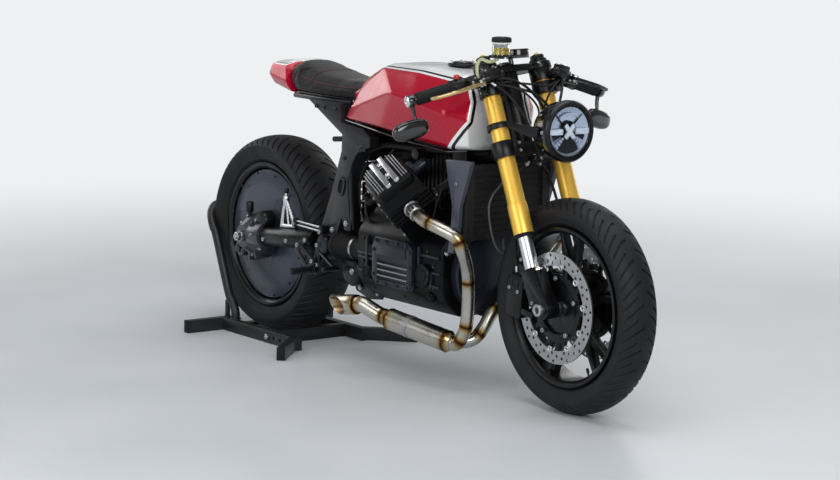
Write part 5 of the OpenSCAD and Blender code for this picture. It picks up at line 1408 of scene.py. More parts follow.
solid("plug_boots", *together(*boots), SOFT_RUBBER, METRES, "chassis")
print("engine dressed")

# %% [markdown]
# ## Between the cylinders
# The space under the tank is packed: an ignition box with cooling ribs, two coils, a thermostat housing, the loom
# along the spine and a splash guard ahead of the rear wheel. Plates behind the crankcase tie it to the frame.

# %% Ignition, loom and engine mounts
boxes = [box_shape((-700, -40, 500), (-476, 40, 672)), box_shape((-712, -30, 520), (-464, 30, 652)),
         box_shape((-966, -72, 612), (-880, 72, 732))]
boxes += [box_shape((-690 + 20 * k, -45, 510), (-682 + 20 * k, 45, 668)) for k in range(11)]
boxes += [box_shape((-908, -84, 430 + 60 * k), (-902, 84, 488 + 60 * k)) for k in range(4)]
boxes += [box_shape((-466, s * 74 - 5, 560), (-404, s * 74 + 5, 690)) for s in SIDES]
edged(solid("ignition_and_guards", *together(*boxes), PLASTIC, FRONT, "chassis"), 2.0)
coil = lathe([(0.5, -46), (9, -46), (9, -40), (21, -38), (22, -36), (22, 36), (21, 38), (9, 40), (9, 50), (0.5, 50)],
             32, "X")
thermostat = lathe([(0.5, -58), (20, -58), (20, -46), (33, -40), (36, -20), (36, 20), (33, 40), (20, 46), (20, 58),
                    (0.5, 58)], 36, "Y")
turned_bits = [moved(coil, shift(-424, s * 40, 640)) for s in SIDES] + [moved(thermostat, shift(-424, 0, 566))]
solid("coils_and_thermostat", *together(*turned_bits), ENGINE_BLACK, FRONT, "chassis", smooth=30)
# Each run of the loom as its radius, its sides and its points on the left
LOOM = ((9, 16, ((-352, 30, 690), (-420, 46, 682), (-560, 60, 676), (-700, 66, 672), (-800, 78, 668), (-872, 96, 640))),
        (5, 14, ((-886, 138, 560), (-882, 138, 500), (-876, 137, 452), (-884, 128, 410))),
        (5, 14, ((-812, 137, 655), (-850, 138, 646), (-884, 138, 600), (-888, 138, 556))))
loom = [tube([(x, s * y, z) for x, y, z in run], radius, sides, 8) for radius, sides, run in LOOM for s in SIDES]
solid("wiring_loom", *together(*loom), HOSE, FRONT, "chassis", smooth=60)
MOUNT = [(-770, 250), (-786, 206), (-850, 198), (-918, 216), (-958, 300), (-940, 392), (-880, 420), (-800, 400)]
mount_slots = [slot_line(-850, 300, -830, 330, 16), slot_line(-900, 330, -890, 350, 12)]
mounts = [moved(flat_shape(MOUNT, mount_slots, y, y + 9), turn("X", 90)) for y in (-93, 84)]
edged(solid("engine_mounts", *together(*mounts), FRAME_GREY, FRONT, "chassis"), 1.8)
bolt_places = ((-800, 224), (-890, 228), (-930, 320), (-870, 400))
mount_bolts = [((x, s * 93, z), (0, s, 0)) for s in SIDES for x, z in bolt_places]
set_units("mount_bolts", spots_at(FRONT, mount_bolts), 9.0, STEEL, "chassis", NUT_HEAD)
print("middle filled")

# %% [markdown]
# ## Air filters and coolant hoses
# Cone filters of pleated mesh feed the carburettors, and thick rubber hoses with band clips carry the coolant from
# the radiator to the heads.

# %% Filters and hoses
FILTER = ((20, -1), (36.5, -1), (37.5, 3), (37.5, 12), (35, 14), (35, 66), (37, 68), (37, 82), (33, 85), (6, 85.6))
pleats = []
for side in SIDES:
    start, end = Vector((-762, side * 62, 580)), Vector((-845, side * 62, 586))
    place = Matrix.Translation(start) @ facing((end - start).normalized())
    pleats.append(moved(fluted(FILTER, 14, 66, 1.6, lambda k: k % 2), place))
solid("filter_pleats", *together(*pleats), SOFT_RUBBER, FRONT, "chassis", smooth=25)
COOLANT = [[(x, s * y, z) for x, y, z in run] for run in (
    ((-350, 96, 640), (-380, 110, 628), (-430, 118, 600), (-478, 132, 566)),
    ((-350, 118, 470), (-372, 132, 452), (-398, 138, 424), (-412, 138, 396))) for s in SIDES]
solid("coolant_hoses", *together(*[tube(run, 14, 20, 6) for run in COOLANT]), HOSE, FRONT, "chassis", smooth=60)
clips = []
for run in COOLANT:
    line = smooth_path(run, 6)
    for i in (2, len(line) - 3):
        way = (line[i + 1] - line[i - 1]).normalized()
        clips.append(tube([line[i] - way * 4, line[i], line[i] + way * 4], 15.2, 24, 4))
solid("hose_clips", *together(*clips), STEEL, FRONT, "chassis", smooth=30)
print("filters and hoses done")

# %% [markdown]
# ## Radiator
# The core is a block of fine fins behind a wire mesh. A node tree could set thousands of fins, but they are too
# fine to see apart, so the core's material draws them as relief at the real spacing, made a little coarser to show.

# %% Radiator and shrouds
CORE = finish("radiator_core_paint", "#090a0b", 0.5, metal=0.1, grain=0.8, mottle=0.1, relief=0.02)
tree, shader = parts_of(CORE)
where = put(tree, "ShaderNodeTexCoord")
wires = [put(tree, "ShaderNodeTexWave", {"Scale": 1 / (4.5 * MM) / 3.2}, {"Vector": where.outputs["Object"]},
             wave_type="BANDS", bands_direction=axis) for axis in ("Y", "Z")]
mesh_height = put(tree, "ShaderNodeMath", links={k: wires[k].outputs["Fac"] for k in (0, 1)}, operation="MAXIMUM")
mesh_bump = put(tree, "ShaderNodeBump", {"Strength": 1.0, "Distance": 1.5 * MM}, {"Height": mesh_height.outputs[0]})
tree.links.new(mesh_bump.outputs[0], shader.inputs["Normal"])
dressed("radiator", CORE, 1.0)
dressed("radiator_shrouds", SHROUD_GREY, 2.6, segments=3)
set_units("shroud_screws", from_sides("radiator_shrouds", [(-330, 612)]), 6.0, STEEL, "chassis")
print("radiator dressed")

# %% [markdown]
# ## Exhaust
# The pipes are stainless steel, bent and welded from short lengths. Welding leaves a raised bead and a band of straw
# and brown tint on each side of it. Tubes along smooth curves give the bends. The beads are small swellings of the
# radius, and a value stored along the pipe tells the material where the tint is.

# %% Welded pipes
# Brushed stainless steel: warm grey, stretched highlights, tinted where it was hot, and darkened deep inside the tail
# pipe by soot together with painted shade.
STAINLESS = finish("brushed_stainless", "#b7b4ac", 0.25, metal=1.0, grain=0.8, mottle=0.08, relief=0.012,
                   stretch=(0.4, 1, 1))
tree, shader = parts_of(STAINLESS)
heat_and_shade = put(tree, "ShaderNodeAttribute", attribute_name="heat_tint_and_shade")
scale = put(tree, "ShaderNodeValToRGB", links={0: heat_and_shade.outputs["Fac"]})
for stop, place, shade in zip(scale.color_ramp.elements, (0.0, 1.0), ("#ffffff", "#231d1c")):
    stop.position, stop.color = place, linear(shade)
for spot, shade in ((0.25, "#f2dfae"), (0.5, "#c59a55"), (0.8, "#6d4a3a")):
    scale.color_ramp.elements.new(spot).color = linear(shade)
bare_steel = shader.inputs["Base Color"].links[0].from_socket
tinted = put(tree, "ShaderNodeVectorMath", links={0: bare_steel, 1: scale.outputs[0]}, operation="MULTIPLY")
tree.links.new(tinted.outputs[0], shader.inputs["Base Color"])


def pipe(name, points, radius, welds, node=None, hot_end=True, sides=32):
    """A welded pipe; welds are shares of its length and hot_end tints its start."""
    step, bead, bead_width, tint_width = 4.0, 1.1, 2.4, 9
    line = smooth_path(points, step)
    length = sum((b - a).length for a, b in zip(line, line[1:]))

    def swell(t):
        base = radius(t) if callable(radius) else radius
        return base + sum(bead * math.exp(-((t - w) * length / bead_width) ** 2) for w in welds)

    made = solid(name, *tube(points, swell, sides, step), STAINLESS, FRONT, "chassis", node, "exhaust_steel", 60)
    tint = []
    for i in range(len(line)):
        t = i / (len(line) - 1)
        value = max([0.95 * math.exp(-(abs(t - w) * length / tint_width) ** 1.3) for w in welds] + [0.0])
        if hot_end:
            value = max(value, 0.4 * math.exp(-t * length / 42))
        tint += [min(value, 1.0)] * sides
    store(made, "heat_tint_and_shade", tint)


def head_point(along, up, side=-1):
    """A point of a cylinder head, in mm of the front frame."""
    return FRONT.inverted() @ (cylinder_place(side) @ Vector((along, 0, up)))


SILENCER_FROM, SILENCER_TO = Vector((-394, -130, 146)), Vector((-628, -186, 186))
SILENCER_WAY = (SILENCER_TO - SILENCER_FROM).normalized()
DOWN = [head_point(85, 283), head_point(110, 280), (-400, -226, 504), (-330, -214, 486), (-290, -196, 466),
        (-284, -178, 430), (-306, -142, 372)]
RIGHT = DOWN + [(-322, -124, 316), (-332, -116, 250), (-340, -116, 196), (-354, -121, 162),
                SILENCER_FROM - 22 * SILENCER_WAY, SILENCER_FROM]
LEFT = [Vector((p[0], -p[1], p[2])) for p in DOWN] + [
    (-330, 100, 316), (-338, 40, 270), (-338, -20, 234), (-342, -50, 190), (-356, -74, 156), (-374, -116, 146)]
pipe("header_right", RIGHT, 19, [0.19, 0.38, 0.62, 0.85, 0.93], "exhaust_headers")
pipe("header_left", LEFT, 19, [0.18, 0.36, 0.46, 0.6, 0.78, 0.9])


def can_radius(t):
    """The silencer narrows to a cone at each end."""
    return 32 - 11 * max(0.0, 1 - t / 0.06) - 9 * max(0.0, (t - 0.95) / 0.05)


pipe("silencer_can", [SILENCER_FROM - 10 * SILENCER_WAY, SILENCER_FROM.lerp(SILENCER_TO, 0.5), SILENCER_TO], can_radius,
     [0.07, 0.94], "silencer", hot_end=False, sides=48)
TIP_FROM, TIP_TO = Vector((-730, -218, 212)), Vector((-868, -224, 191))
TIP_WAY = (TIP_TO - TIP_FROM).normalized()
pipe("tail_bend", [SILENCER_TO - 8 * SILENCER_WAY, SILENCER_TO + 26 * SILENCER_WAY, (-674, -202, 200),
                   TIP_FROM - 24 * TIP_WAY, TIP_FROM + 3 * TIP_WAY], 24, [0.14, 0.95], hot_end=False, sides=40)


def slash_tip():
    """The open tail pipe: an outer and an inner wall that end on a slanted plane."""
    plane = Vector((0.3, 0.9, 0.26)).normalized()
    mouth = TIP_TO - 36 * TIP_WAY
    side = TIP_WAY.orthogonal().normalized()
    up = TIP_WAY.cross(side)
    rings = []
    walls = ((12, 0.0), (24.5, 0.0), (29.2, 0.03), (30, 0.06), (30, 0.5), (30, 1.0), (28.6, 1.0), (28.4, 0.97),
             (28.3, 0.75), (28.2, 0.5), (28, 0.05), (5, 0.04))
    for r, share in walls:
        ring = []
        for k in range(64):
            a = math.tau * k / 64
            base = TIP_FROM + r * (side * math.cos(a) + up * math.sin(a))
            reach = -plane.dot(base - mouth) / plane.dot(TIP_WAY)
            ring.append(base + TIP_WAY * reach * share)
        rings.append(ring)
    made = solid("slash_tip", *skin(rings), STAINLESS, FRONT, "chassis", None, "exhaust_steel", 35)
    outer = (0.9, 0.9, 0.6, 0.35, 0.05, 0.0, 0.0)
    tint = []
    for i, ring in enumerate(rings):
        # Inside, soot together with painted shade of the hollow darkens the steel deep in the pipe, thinning out to
        # bare steel towards the point of the tail pipe
        deep = [(p - TIP_FROM).dot(TIP_WAY) / 172 for p in ring]
        tint += [outer[i] if i < len(outer) else min(1.0, max(0.1, 2.1 - 2.1 * d)) for d in deep]
    store(made, "heat_tint_and_shade", tint)


slash_tip()
COLLAR = ((19, 0), (25, 0), (26, 1.5), (26, 6), (25, 7.5), (23, 8), (21.6, 12), (21.6, 40), (20.6, 42), (19.3, 42))
collars = []
for side in SIDES:
    start, after = head_point(84.5, 283, side), head_point(110, 280, side)
    place = Matrix.Translation(start) @ facing((after - start).normalized())
    collars.append(moved(fluted(COLLAR, 12, 40, 1.3, lambda k: k % 6 < 3), place))
solid("header_collars", *together(*collars), STEEL, FRONT, "chassis", smooth=30)
middle = SILENCER_FROM.lerp(SILENCER_TO, 0.62)
band = tube([middle - 7 * SILENCER_WAY, middle, middle + 7 * SILENCER_WAY], 33.4, 48, 4)
solid("silencer_strap", *band, ALLOY, FRONT, "chassis", smooth=30)
print("exhaust done")

# %% [markdown]
# ## Frame and rear end
# Plates, rails and the swingarm keep their CAD shapes with softened edges. Large screws, a filler cap and the
# coloured spring bring them close to the real thing.

# %% Frame and drive
dressed("frame_spine", SATIN_BLACK, 3.0)
dressed("frame_plates", FRAME_GREY, 3.0, segments=3)
dressed("subframe", FRAME_GREY, 2.0)
dressed("seat_pan", SATIN_BLACK, 2.0)
dressed("swingarm", SATIN_BLACK, 3.0)
# Silver-grey paint on the cast drive housing: soft bright bands on its round shapes
DRIVE_GREY = finish("drive_housing_paint", "#4b4f58", 0.3, metal=0.6, coat=0.15, grain=1.4, mottle=0.08, relief=0.06)
dressed("final_drive", DRIVE_GREY, 3.0, segments=3)
dressed("rear_axle", STEEL, 1.5)
dressed("rearsets", SATIN_BLACK, 1.4)
set_units("plate_bolts", from_sides("frame_plates", [(-912, 424), (-985, 395)]), 9.5, STEEL, "chassis", NUT_HEAD)
plate_screws = [(-930, 620), (-915, 560), (-1080, 764), (-1040, 764), (-980, 764)]
set_units("plate_screws", from_sides("frame_plates", plate_screws), 6.0, DARK_ZINC, "chassis")
hub_x, hub_z = (REAR_HUB.x - FRONT_HUB.x) / MM, REAR_HUB.z / MM
around = [math.tau * k / 8 + 0.2 for k in range(8)]
drive_spots = [(hub_x + 62 * math.cos(a), hub_z + 62 * math.sin(a)) for a in around]
set_units("drive_screws", from_sides("final_drive", drive_spots, sides=(-1,)), 5.5, STEEL, "chassis")


def ribbed_cap(r, h):
    """A screw cap of a radius and a height with a ribbed edge."""
    count, rings = 36, []
    for reach, z, rib in ((r, -2, 1.0), (r, 2, 1.0), (r * 0.86, 2.5, 1.06), (r * 0.86, h, 1.06),
                          (r * 0.7, h + 1.5, 1.0), (0.5, h + 1.5, 1.0)):
        ring = []
        for k in range(count):
            a, out = math.tau * k / count, 1.0 if k % 3 else rib
            ring.append((reach * math.cos(a) * out, reach * math.sin(a) * out, z))
        rings.append(ring)
    return skin(rings)


caps = []
for x, z, r, h in ((hub_x - 46, hub_z - 46, 15, 12), (hub_x + 34, hub_z + 40, 9, 8)):
    for spot, off in from_sides("final_drive", [(x, z)], sides=(-1,)):
        caps.append(moved(ribbed_cap(r, h), in_mm(spot) @ facing(off)))
solid("drive_caps", *together(*caps), DARK_ZINC, METRES, "chassis", smooth=30)
set_units("axle_nuts", from_sides("rear_axle", [(hub_x, hub_z)]), 15, STEEL, "chassis", NUT_HEAD)
arm_screws = [(hub_x + 120, hub_z + 6), (hub_x + 250, hub_z + 18)]
set_units("arm_screws", from_sides("swingarm", arm_screws), 6.5, STEEL, "chassis")
print("frame dressed")

# %% [markdown]
# ## Linkage, boot and drive fittings
# Between the engine and the rear wheel the real machine is crowded: a rubber boot over the shaft joint, a cast
# mount with a large bolt, the brake rods and the footrest links. Flat links are cut from plate as an outline with
# holes and raised; everything round is turned or drawn as a tube. The feet of the radiator shrouds and the drain
# hose are made here as well, with the same tools.

# %% Shroud feet, drain hose, brake fork and rods
foot_outline = [(-356, 487), (-360, 462), (-372, 412), (-346, 412), (-328, 462), (-322, 487)]
edged(solid("shroud_feet", *plates(foot_outline, [], 152, 164), SHROUD_GREY, FRONT, "chassis"), 2.0)
# Black hose rubber coloured light grey as a painted highlight: matt and even, a shade lighter than the radiator behind
# it
HOSE_PAINTED_HIGHLIGHT = finish("hose_rubber_painted_highlight", "#5a5b64", 0.5, grain=1.0, mottle=0.05, relief=0.004)
drain = tube([(-309, 8, 636), (-303, -6, 628), (-302, -32, 604), (-302, -61, 574), (-302, -72, 539), (-302, -64, 482),
              (-302, -45, 432), (-304, -22, 409), (-314, -4, 406), (-326, 2, 422), (-328, 2, 451)], 3.2, 14, 5)
solid("radiator_drain_hose", *drain, HOSE_PAINTED_HIGHLIGHT, FRONT, "chassis", smooth=60)
ARM_Y = -124


def taper(t):
    """The radius of the fork's two arms along their length."""
    return 7.2 - 1.4 * t


fork_head = lathe([(0.5, 438), (8, 438), (10, 442), (10, 462), (8, 466), (5, 467), (5, 479), (0.5, 479)], 24, "Z")
fork = together(tube([(-1282, ARM_Y, 369), (-1242, ARM_Y, 372), (-1202, ARM_Y, 376)], 7, 16),
                tube([(-1279, ARM_Y, 370), (-1270, ARM_Y, 418), (-1260, ARM_Y, 452)], taper, 16),
                tube([(-1205, ARM_Y, 377), (-1232, ARM_Y, 418), (-1256, ARM_Y, 452)], taper, 16),
                tube([(-1243, ARM_Y, 374), (-1251, ARM_Y, 416), (-1257, ARM_Y, 446)], 3.6, 12),
                moved(fork_head, shift(-1258, ARM_Y, 0)))
solid("brake_fork", *fork, POLISHED, FRONT, "chassis", "brake_arm", SLOTS["brake_arm"], 40)
ROD_ENDS = [Vector((-1196, -129, 384)), Vector((-1018, -152, 386))]
rod_line = (ROD_ENDS[0], ROD_ENDS[0].lerp(ROD_ENDS[1], 0.5), ROD_ENDS[1])
rods = [tube([p + Vector((0, 0, h)) for p in rod_line], 3.6, 14) for h in (0, 12)]
solid("brake_rods", *together(*rods), STEEL, FRONT, "chassis", smooth=60)
blocks = [box_shape(p + Vector((-9, -7, -8)), p + Vector((9, 7, 20))) for p in ROD_ENDS]
blocks.append(box_shape((-1028, -149, 378), (-1008, -133.5, 404)))
edged(solid("rod_blocks", *together(*blocks), SATIN_BLACK, FRONT, "chassis"), 2.4)
top_cap = lathe([(0.5, 474), (7, 474), (8, 476), (8, 486), (6, 489), (0.5, 489)], 24, "Z")
breather = lathe([(0.5, 366), (7, 366), (7, 388), (11.5, 390), (12.5, 393), (12.5, 418), (10, 423), (0.5, 424)], 28,
                 "Z")
cam_box = lathe([(0.5, 97), (29, 97), (31, 99), (31, 128), (27, 136), (18, 138), (0.5, 138)], 36, "Y")
fittings = together(moved(top_cap, shift(-1258, ARM_Y, 0)), moved(breather, shift(hub_x - 8, ARM_Y, 0)),
                    moved(cam_box, shift(hub_x + 74, 0, 372) @ turn("X", 180)))
solid("drive_breather", *fittings, SATIN_BLACK, FRONT, "chassis", smooth=35)
print("brake fork done")

# %% Boot, mount and links
folds = [q for k in range(6) for q in ((36 - k * 0.6, -962 + 12 * k), (44 - k * 1.4, -957 + 12 * k))]
boot = [(0.5, -982), (34, -982), (45, -978), (46, -970), (44, -966)] + folds
boot += [(33, -889), (33, -878), (31, -874), (31, -846), (36, -824), (0.5, -814)]
shaft = shift(0, -112, 350)
solid("shaft_boot", *moved(lathe(boot, 48, "X"), shaft), SOFT_RUBBER, FRONT, "chassis", smooth=25)
clip = moved(lathe([(33, -888), (35.5, -888), (35.5, -879), (33, -879), (33, -888)], 48, "X"), shaft)
solid("boot_clip", *clip, STEEL, FRONT, "chassis", smooth=35)
CAST = [(-946, 300), (-930, 313), (-884, 313), (-864, 302), (-858, 268), (-872, 240), (-900, 232), (-934, 244),
        (-950, 270)]
edged(solid("lower_mounts", *plates(CAST, [], 92, 126), SATIN_BLACK, FRONT, "chassis"), 6.0, 3)
LINK = [(-1154, 316), (-1146, 332), (-1128, 340), (-1050, 300), (-1042, 282), (-1054, 252), (-1078, 246), (-1092, 256)]
WINDOW = [(-1132, 314), (-1124, 322), (-1074, 296), (-1070, 284), (-1086, 276)]
links = together(plates(LINK, [WINDOW], 155.5, 161, (-1,)), plates(slot_line(-1041, 342, -1040, 281, 11), [], 146, 153),
                 plates(slot_line(-1096, 352, -1140, 330, 10), [], 155, 160, (-1,)))
edged(solid("footrest_links", *links, SATIN_BLACK, FRONT, "chassis"), 1.4)
PIVOT_CAP = ((0.5, 0), (27, 0), (28.5, 2), (27, 6), (17, 9), (9, 9.5), (8, 7), (0.5, 7))
caps = [moved(lathe([(r, s * h) for r, h in PIVOT_CAP], 36, "Y"), shift(-1022, s * 143.6, 345)) for s in SIDES]
solid("pivot_caps", *together(*caps), ENGINE_GREY, FRONT, "chassis", smooth=35)
link_bolts = [((x, y, z), (0, -1, 0)) for x, y, z in (
    (-1040, -153, 342), (-1040, -153, 281), (-1096, -160, 350), (-1138, -160, 330), (-1056, -161, 290),
    (-1018, -159, 386), (-1196, -136, 386))]
link_bolts += [((x, 153, z), (0, 1, 0)) for x, z in ((-1040, 342), (-1040, 281))]
set_units("link_bolts", spots_at(FRONT, link_bolts), 6.5, STEEL, "chassis")
lower_bolts = [((-886, s * 126, 281), (0, s, 0)) for s in SIDES]
set_units("lower_bolts", spots_at(FRONT, lower_bolts), 11.0, STEEL, "chassis", NUT_HEAD)
eyes = plates(slot_line(-945, 520, -938, 546, 17), [slot_line(-945, 522, -938, 544, 10)], 133.6, 139)
edged(solid("plate_eyes", *eyes, FRAME_GREY, FRONT, "chassis"), 1.8)
solid("plate_eye_floors", *plates(slot_line(-945, 522, -938, 544, 10.5), [], 133.5, 134.6), RUBBER, FRONT, "chassis")
RIM = [(-826, 668), (-852, 656), (-890, 600), (-911, 544), (-905, 486), (-899, 440)]


def rim_radius(t):
    """The raised rim fades out at both ends."""
    return 4.4 * min(1, 6 * t + 0.2, 6 * (1 - t) + 0.2)


rims = [tube([(x, s * 134, z) for x, z in RIM], rim_radius, 14) for s in SIDES]
stubs = [tube([(-930, s * 112, 677), (-960, s * 122, 674), (-992, s * 130, 671)], 8, 20) for s in SIDES]
solid("plate_rims", *together(*rims, *stubs), FRAME_GREY, FRONT, "chassis", smooth=60)
print("linkage done")

# %% Shock absorber
SHOCK_LOW, SHOCK_HIGH = Vector((-1076, 0, 398)), Vector((-1075, 0, 704))
SHOCK_WAY = (SHOCK_HIGH - SHOCK_LOW).normalized()
SHOCK = FRONT @ Matrix.Translation(SHOCK_LOW) @ facing(SHOCK_WAY)
damper = lathe([(0.5, 0), (12, 0), (12, 58), (34, 58), (34.5, 60), (34.5, 66), (33, 68), (14, 68), (14, 200), (30, 202),
                (32, 204), (32, 248), (30, 250), (14, 251), (14, 305), (0.5, 305)], 40, "Z")
eye = lathe([(0.5, -21.5), (15, -21.5), (15, 21.5), (0.5, 21.5)], 32, "X")
body_shape = together(damper, moved(eye, turn("Z", 90)), moved(eye, shift(0, 0, 306) @ turn("Z", 90)))
solid("shock_body", *body_shape, SATIN_BLACK, SHOCK, "chassis", "rear_shock", "fork_gold", 30)
SPRING_R, SPRING_TURNS, PER_TURN = 27, 6, 24
coil = [(SPRING_R * math.cos(math.tau * k / PER_TURN), SPRING_R * math.sin(math.tau * k / PER_TURN),
         72 + 128 * k / (SPRING_TURNS * PER_TURN)) for k in range(SPRING_TURNS * PER_TURN + 1)]
SPRING_GOLD = finish("gold_spring_lacquer", "#cf9a20", 0.3, coat=0.5, grain=1.5, relief=0.01)
solid("shock_spring", *tube(coil, 5.2, 14, 6), SPRING_GOLD, SHOCK, "chassis", smooth=60)
print("shock done")

# %% [markdown]
# ## Seat seams
# A welt runs round the lower edge of the pad and a seam crosses it at the foot of the hump. The stitches beside
# them are short lengths of thread, set by the node tree along lines dropped onto the stuffed surface.

# %% Seams and stitches
pad_field = BVHTree.FromPolygons([v.co for v in pad.data.vertices], [tuple(p.vertices) for p in pad.data.polygons])


def seam_run(rays):
    """Where rays (start, way) in mm meet the seat pad, each with the direction off its surface."""
    hits = []
    for start, way in rays:
        spot, off, _, _ = pad_field.ray_cast(FRONT @ Vector(start), Vector(way).normalized())
        if spot is not None:
            hits.append((FRONT.inverted() @ spot, off))
    return hits


side_runs = []
for s in SIDES:
    rays = []
    for k in range(60):
        t = k / 59
        rays.append(((-1290 + 380 * t, s * 300, 846 - 22 * t - 10 * math.sin(t * math.pi)), (0, -s, 0)))
    side_runs.append(seam_run(rays))
sweep = [math.radians(-52 + 104 * k / 40) for k in range(41)]
cross = seam_run([((-1176 + 14 * math.cos(a), 130 * math.sin(a), 1000), (0, 0, -1)) for a in sweep])
seams, stitches = [], []
for run in side_runs + [cross]:
    if len(run) < 4:
        continue
    seams.append(tube([p - off.normalized() * 0.4 for p, off in run], 1.5, 10, 6))
    stitches += [(p, q, off) for (p, off), (q, _) in zip(run, run[1:])]
solid("seat_seams", *together(*seams), SUEDE, FRONT, "chassis", smooth=60)
thread = []
for p, q, off in stitches:
    way = (q - p).normalized()
    aside = off.cross(way).normalized() * 3.4
    a, b = p + aside + way * 0.5 - off * 0.1, p + aside + way * 4.0 - off * 0.1
    thread.append((FRONT @ ((a + b) / 2), (FRONT.to_3x3() @ way).normalized()))
STITCH = unit_object("stitch", lathe([(0.05, -1.0), (0.3, -0.8), (0.36, 0), (0.3, 0.8), (0.05, 1.0)], 8, "Z"))
set_units("seat_stitches", thread, 1.9, THREAD_RED, "chassis", STITCH, smooth=60)
print("seams", len(seams), "stitches", len(thread))

# %% [markdown]
# ## Floor stand
# The stand is welded from square tube and one bent round bar. The straight tubes come from the CAD part; the bar is
# drawn again as a smooth bend. Weld beads, plugs in the tube ends and two bright bolts finish it.

# %% Stand
def loose_parts(node, keep):
    """The separate shells of a CAD part that pass a test on their highest corner."""
    work = bmesh.new()
    work.from_mesh(frame["nodes"][node].data)
    bmesh.ops.remove_doubles(work, verts=work.verts, dist=2e-5)
    seen = set()
    for vert in work.verts:
        if vert in seen:
            continue
        shell, todo = [], [vert]
        seen.add(vert)
        while todo:
            here = todo.pop()
            shell.append(here)
            for edge in here.link_edges:
                other = edge.other_vert(here)
                if other not in seen:
                    seen.add(other)
                    todo.append(other)
        if not keep([max(v.co[i] for v in shell) for i in range(3)]):
            for v in shell:
                v.tag = True
    bmesh.ops.delete(work, geom=[v for v in work.verts if v.tag], context="VERTS")
    bmesh.ops.dissolve_limit(work, angle_limit=math.radians(0.6), verts=work.verts, edges=work.edges)
    mesh = bpy.data.meshes.new(node + "_shells")
    work.to_mesh(mesh)
    work.free()
    return mesh


base = in_scene("stand_rails", loose_parts("stand", lambda high: high[2] < 0.2))
fit(base, STAND_BLACK, "chassis", "stand")
edged(base, 2.2, 3)
HOOP_R, HOOP_X, HOOP_Z, FOOT_X, FOOT_Z = 14, -324.33, 372, -44, 40.3


def bend(a, b, c, n):
    """A curve from a to c in n steps that is drawn towards b."""
    a, b, c = Vector(a), Vector(b), Vector(c)
    shares = [i / n for i in range(n + 1)]
    return [a * (1 - t) ** 2 + b * 2 * t * (1 - t) + c * t ** 2 for t in shares]


def hoop_leg(foot_y, lean_y):
    """Half of the hoop, from its foot on the rail up to the middle behind the tyre."""
    return ([Vector((FOOT_X, foot_y, FOOT_Z))]
            + bend((FOOT_X, foot_y, FOOT_Z + 14), (FOOT_X, foot_y, FOOT_Z + 36), (FOOT_X - 44, foot_y, FOOT_Z + 84), 4)
            + bend((HOOP_X + 84, lean_y, HOOP_Z - 90), (HOOP_X, lean_y * 0.94, HOOP_Z),
                   (HOOP_X, lean_y * 0.34, HOOP_Z), 9))


hoop = hoop_leg(-152, -104) + hoop_leg(112, 104)[::-1]
solid("stand_hoop", *tube(hoop, HOOP_R, 28, 6), STAND_BLACK, REAR, "chassis", smooth=60)
welds = []
section = [math.tau * j / 8 for j in range(8)]
for x, y, r in ((FOOT_X, -152, 14), (FOOT_X, 112, 14), (-92, -152, 8), (-92, 112, 8)):
    rings = []
    for k in range(48):
        a, wave = math.tau * k / 48, 0.5 * math.sin(k * 2.1)
        rings.append([(x + (r + 1.5 + 2.6 * math.cos(b) + wave * 0.4) * math.cos(a),
                       y + (r + 1.5 + 2.6 * math.cos(b)) * math.sin(a),
                       FOOT_Z + 0.6 + 2.4 * math.sin(b) + wave * 0.4) for b in section])
    welds.append(skin(rings, loop=True))
solid("stand_welds", *together(*welds), STAND_BLACK, REAR, "chassis", smooth=60)
stand_bolts = [((178, -175, 20), (0, -1, 0)), ((178, 125, 20), (0, 1, 0))]
set_units("stand_bolts", spots_at(REAR, stand_bolts), 9.0, STEEL, "chassis", NUT_HEAD)
PLUG_ENDS = ((434.0, -292.2, -46), (404.0, 242.2, 46), (-95.5, -302, -90), (-95.5, 252, 90))
plugs = [moved(box_shape((-1, -12.9, 0.4), (4, 12.9, 40.4)), shift(x, y, 0) @ turn("Z", a)) for x, y, a in PLUG_ENDS]
edged(solid("stand_plugs", *together(*plugs), SOFT_RUBBER, REAR, "chassis"), 1.6)
print("stand dressed")

# %% [markdown]
# ## Floor, light and camera
# The machine stands on a pale studio floor that fades to white far away, so no wall is needed and every side can
# be looked at. The light is wide and soft: a large lamp overhead, one on each of four sides, and a pale surround.
# The camera stands where the photograph was taken and has its long lens.

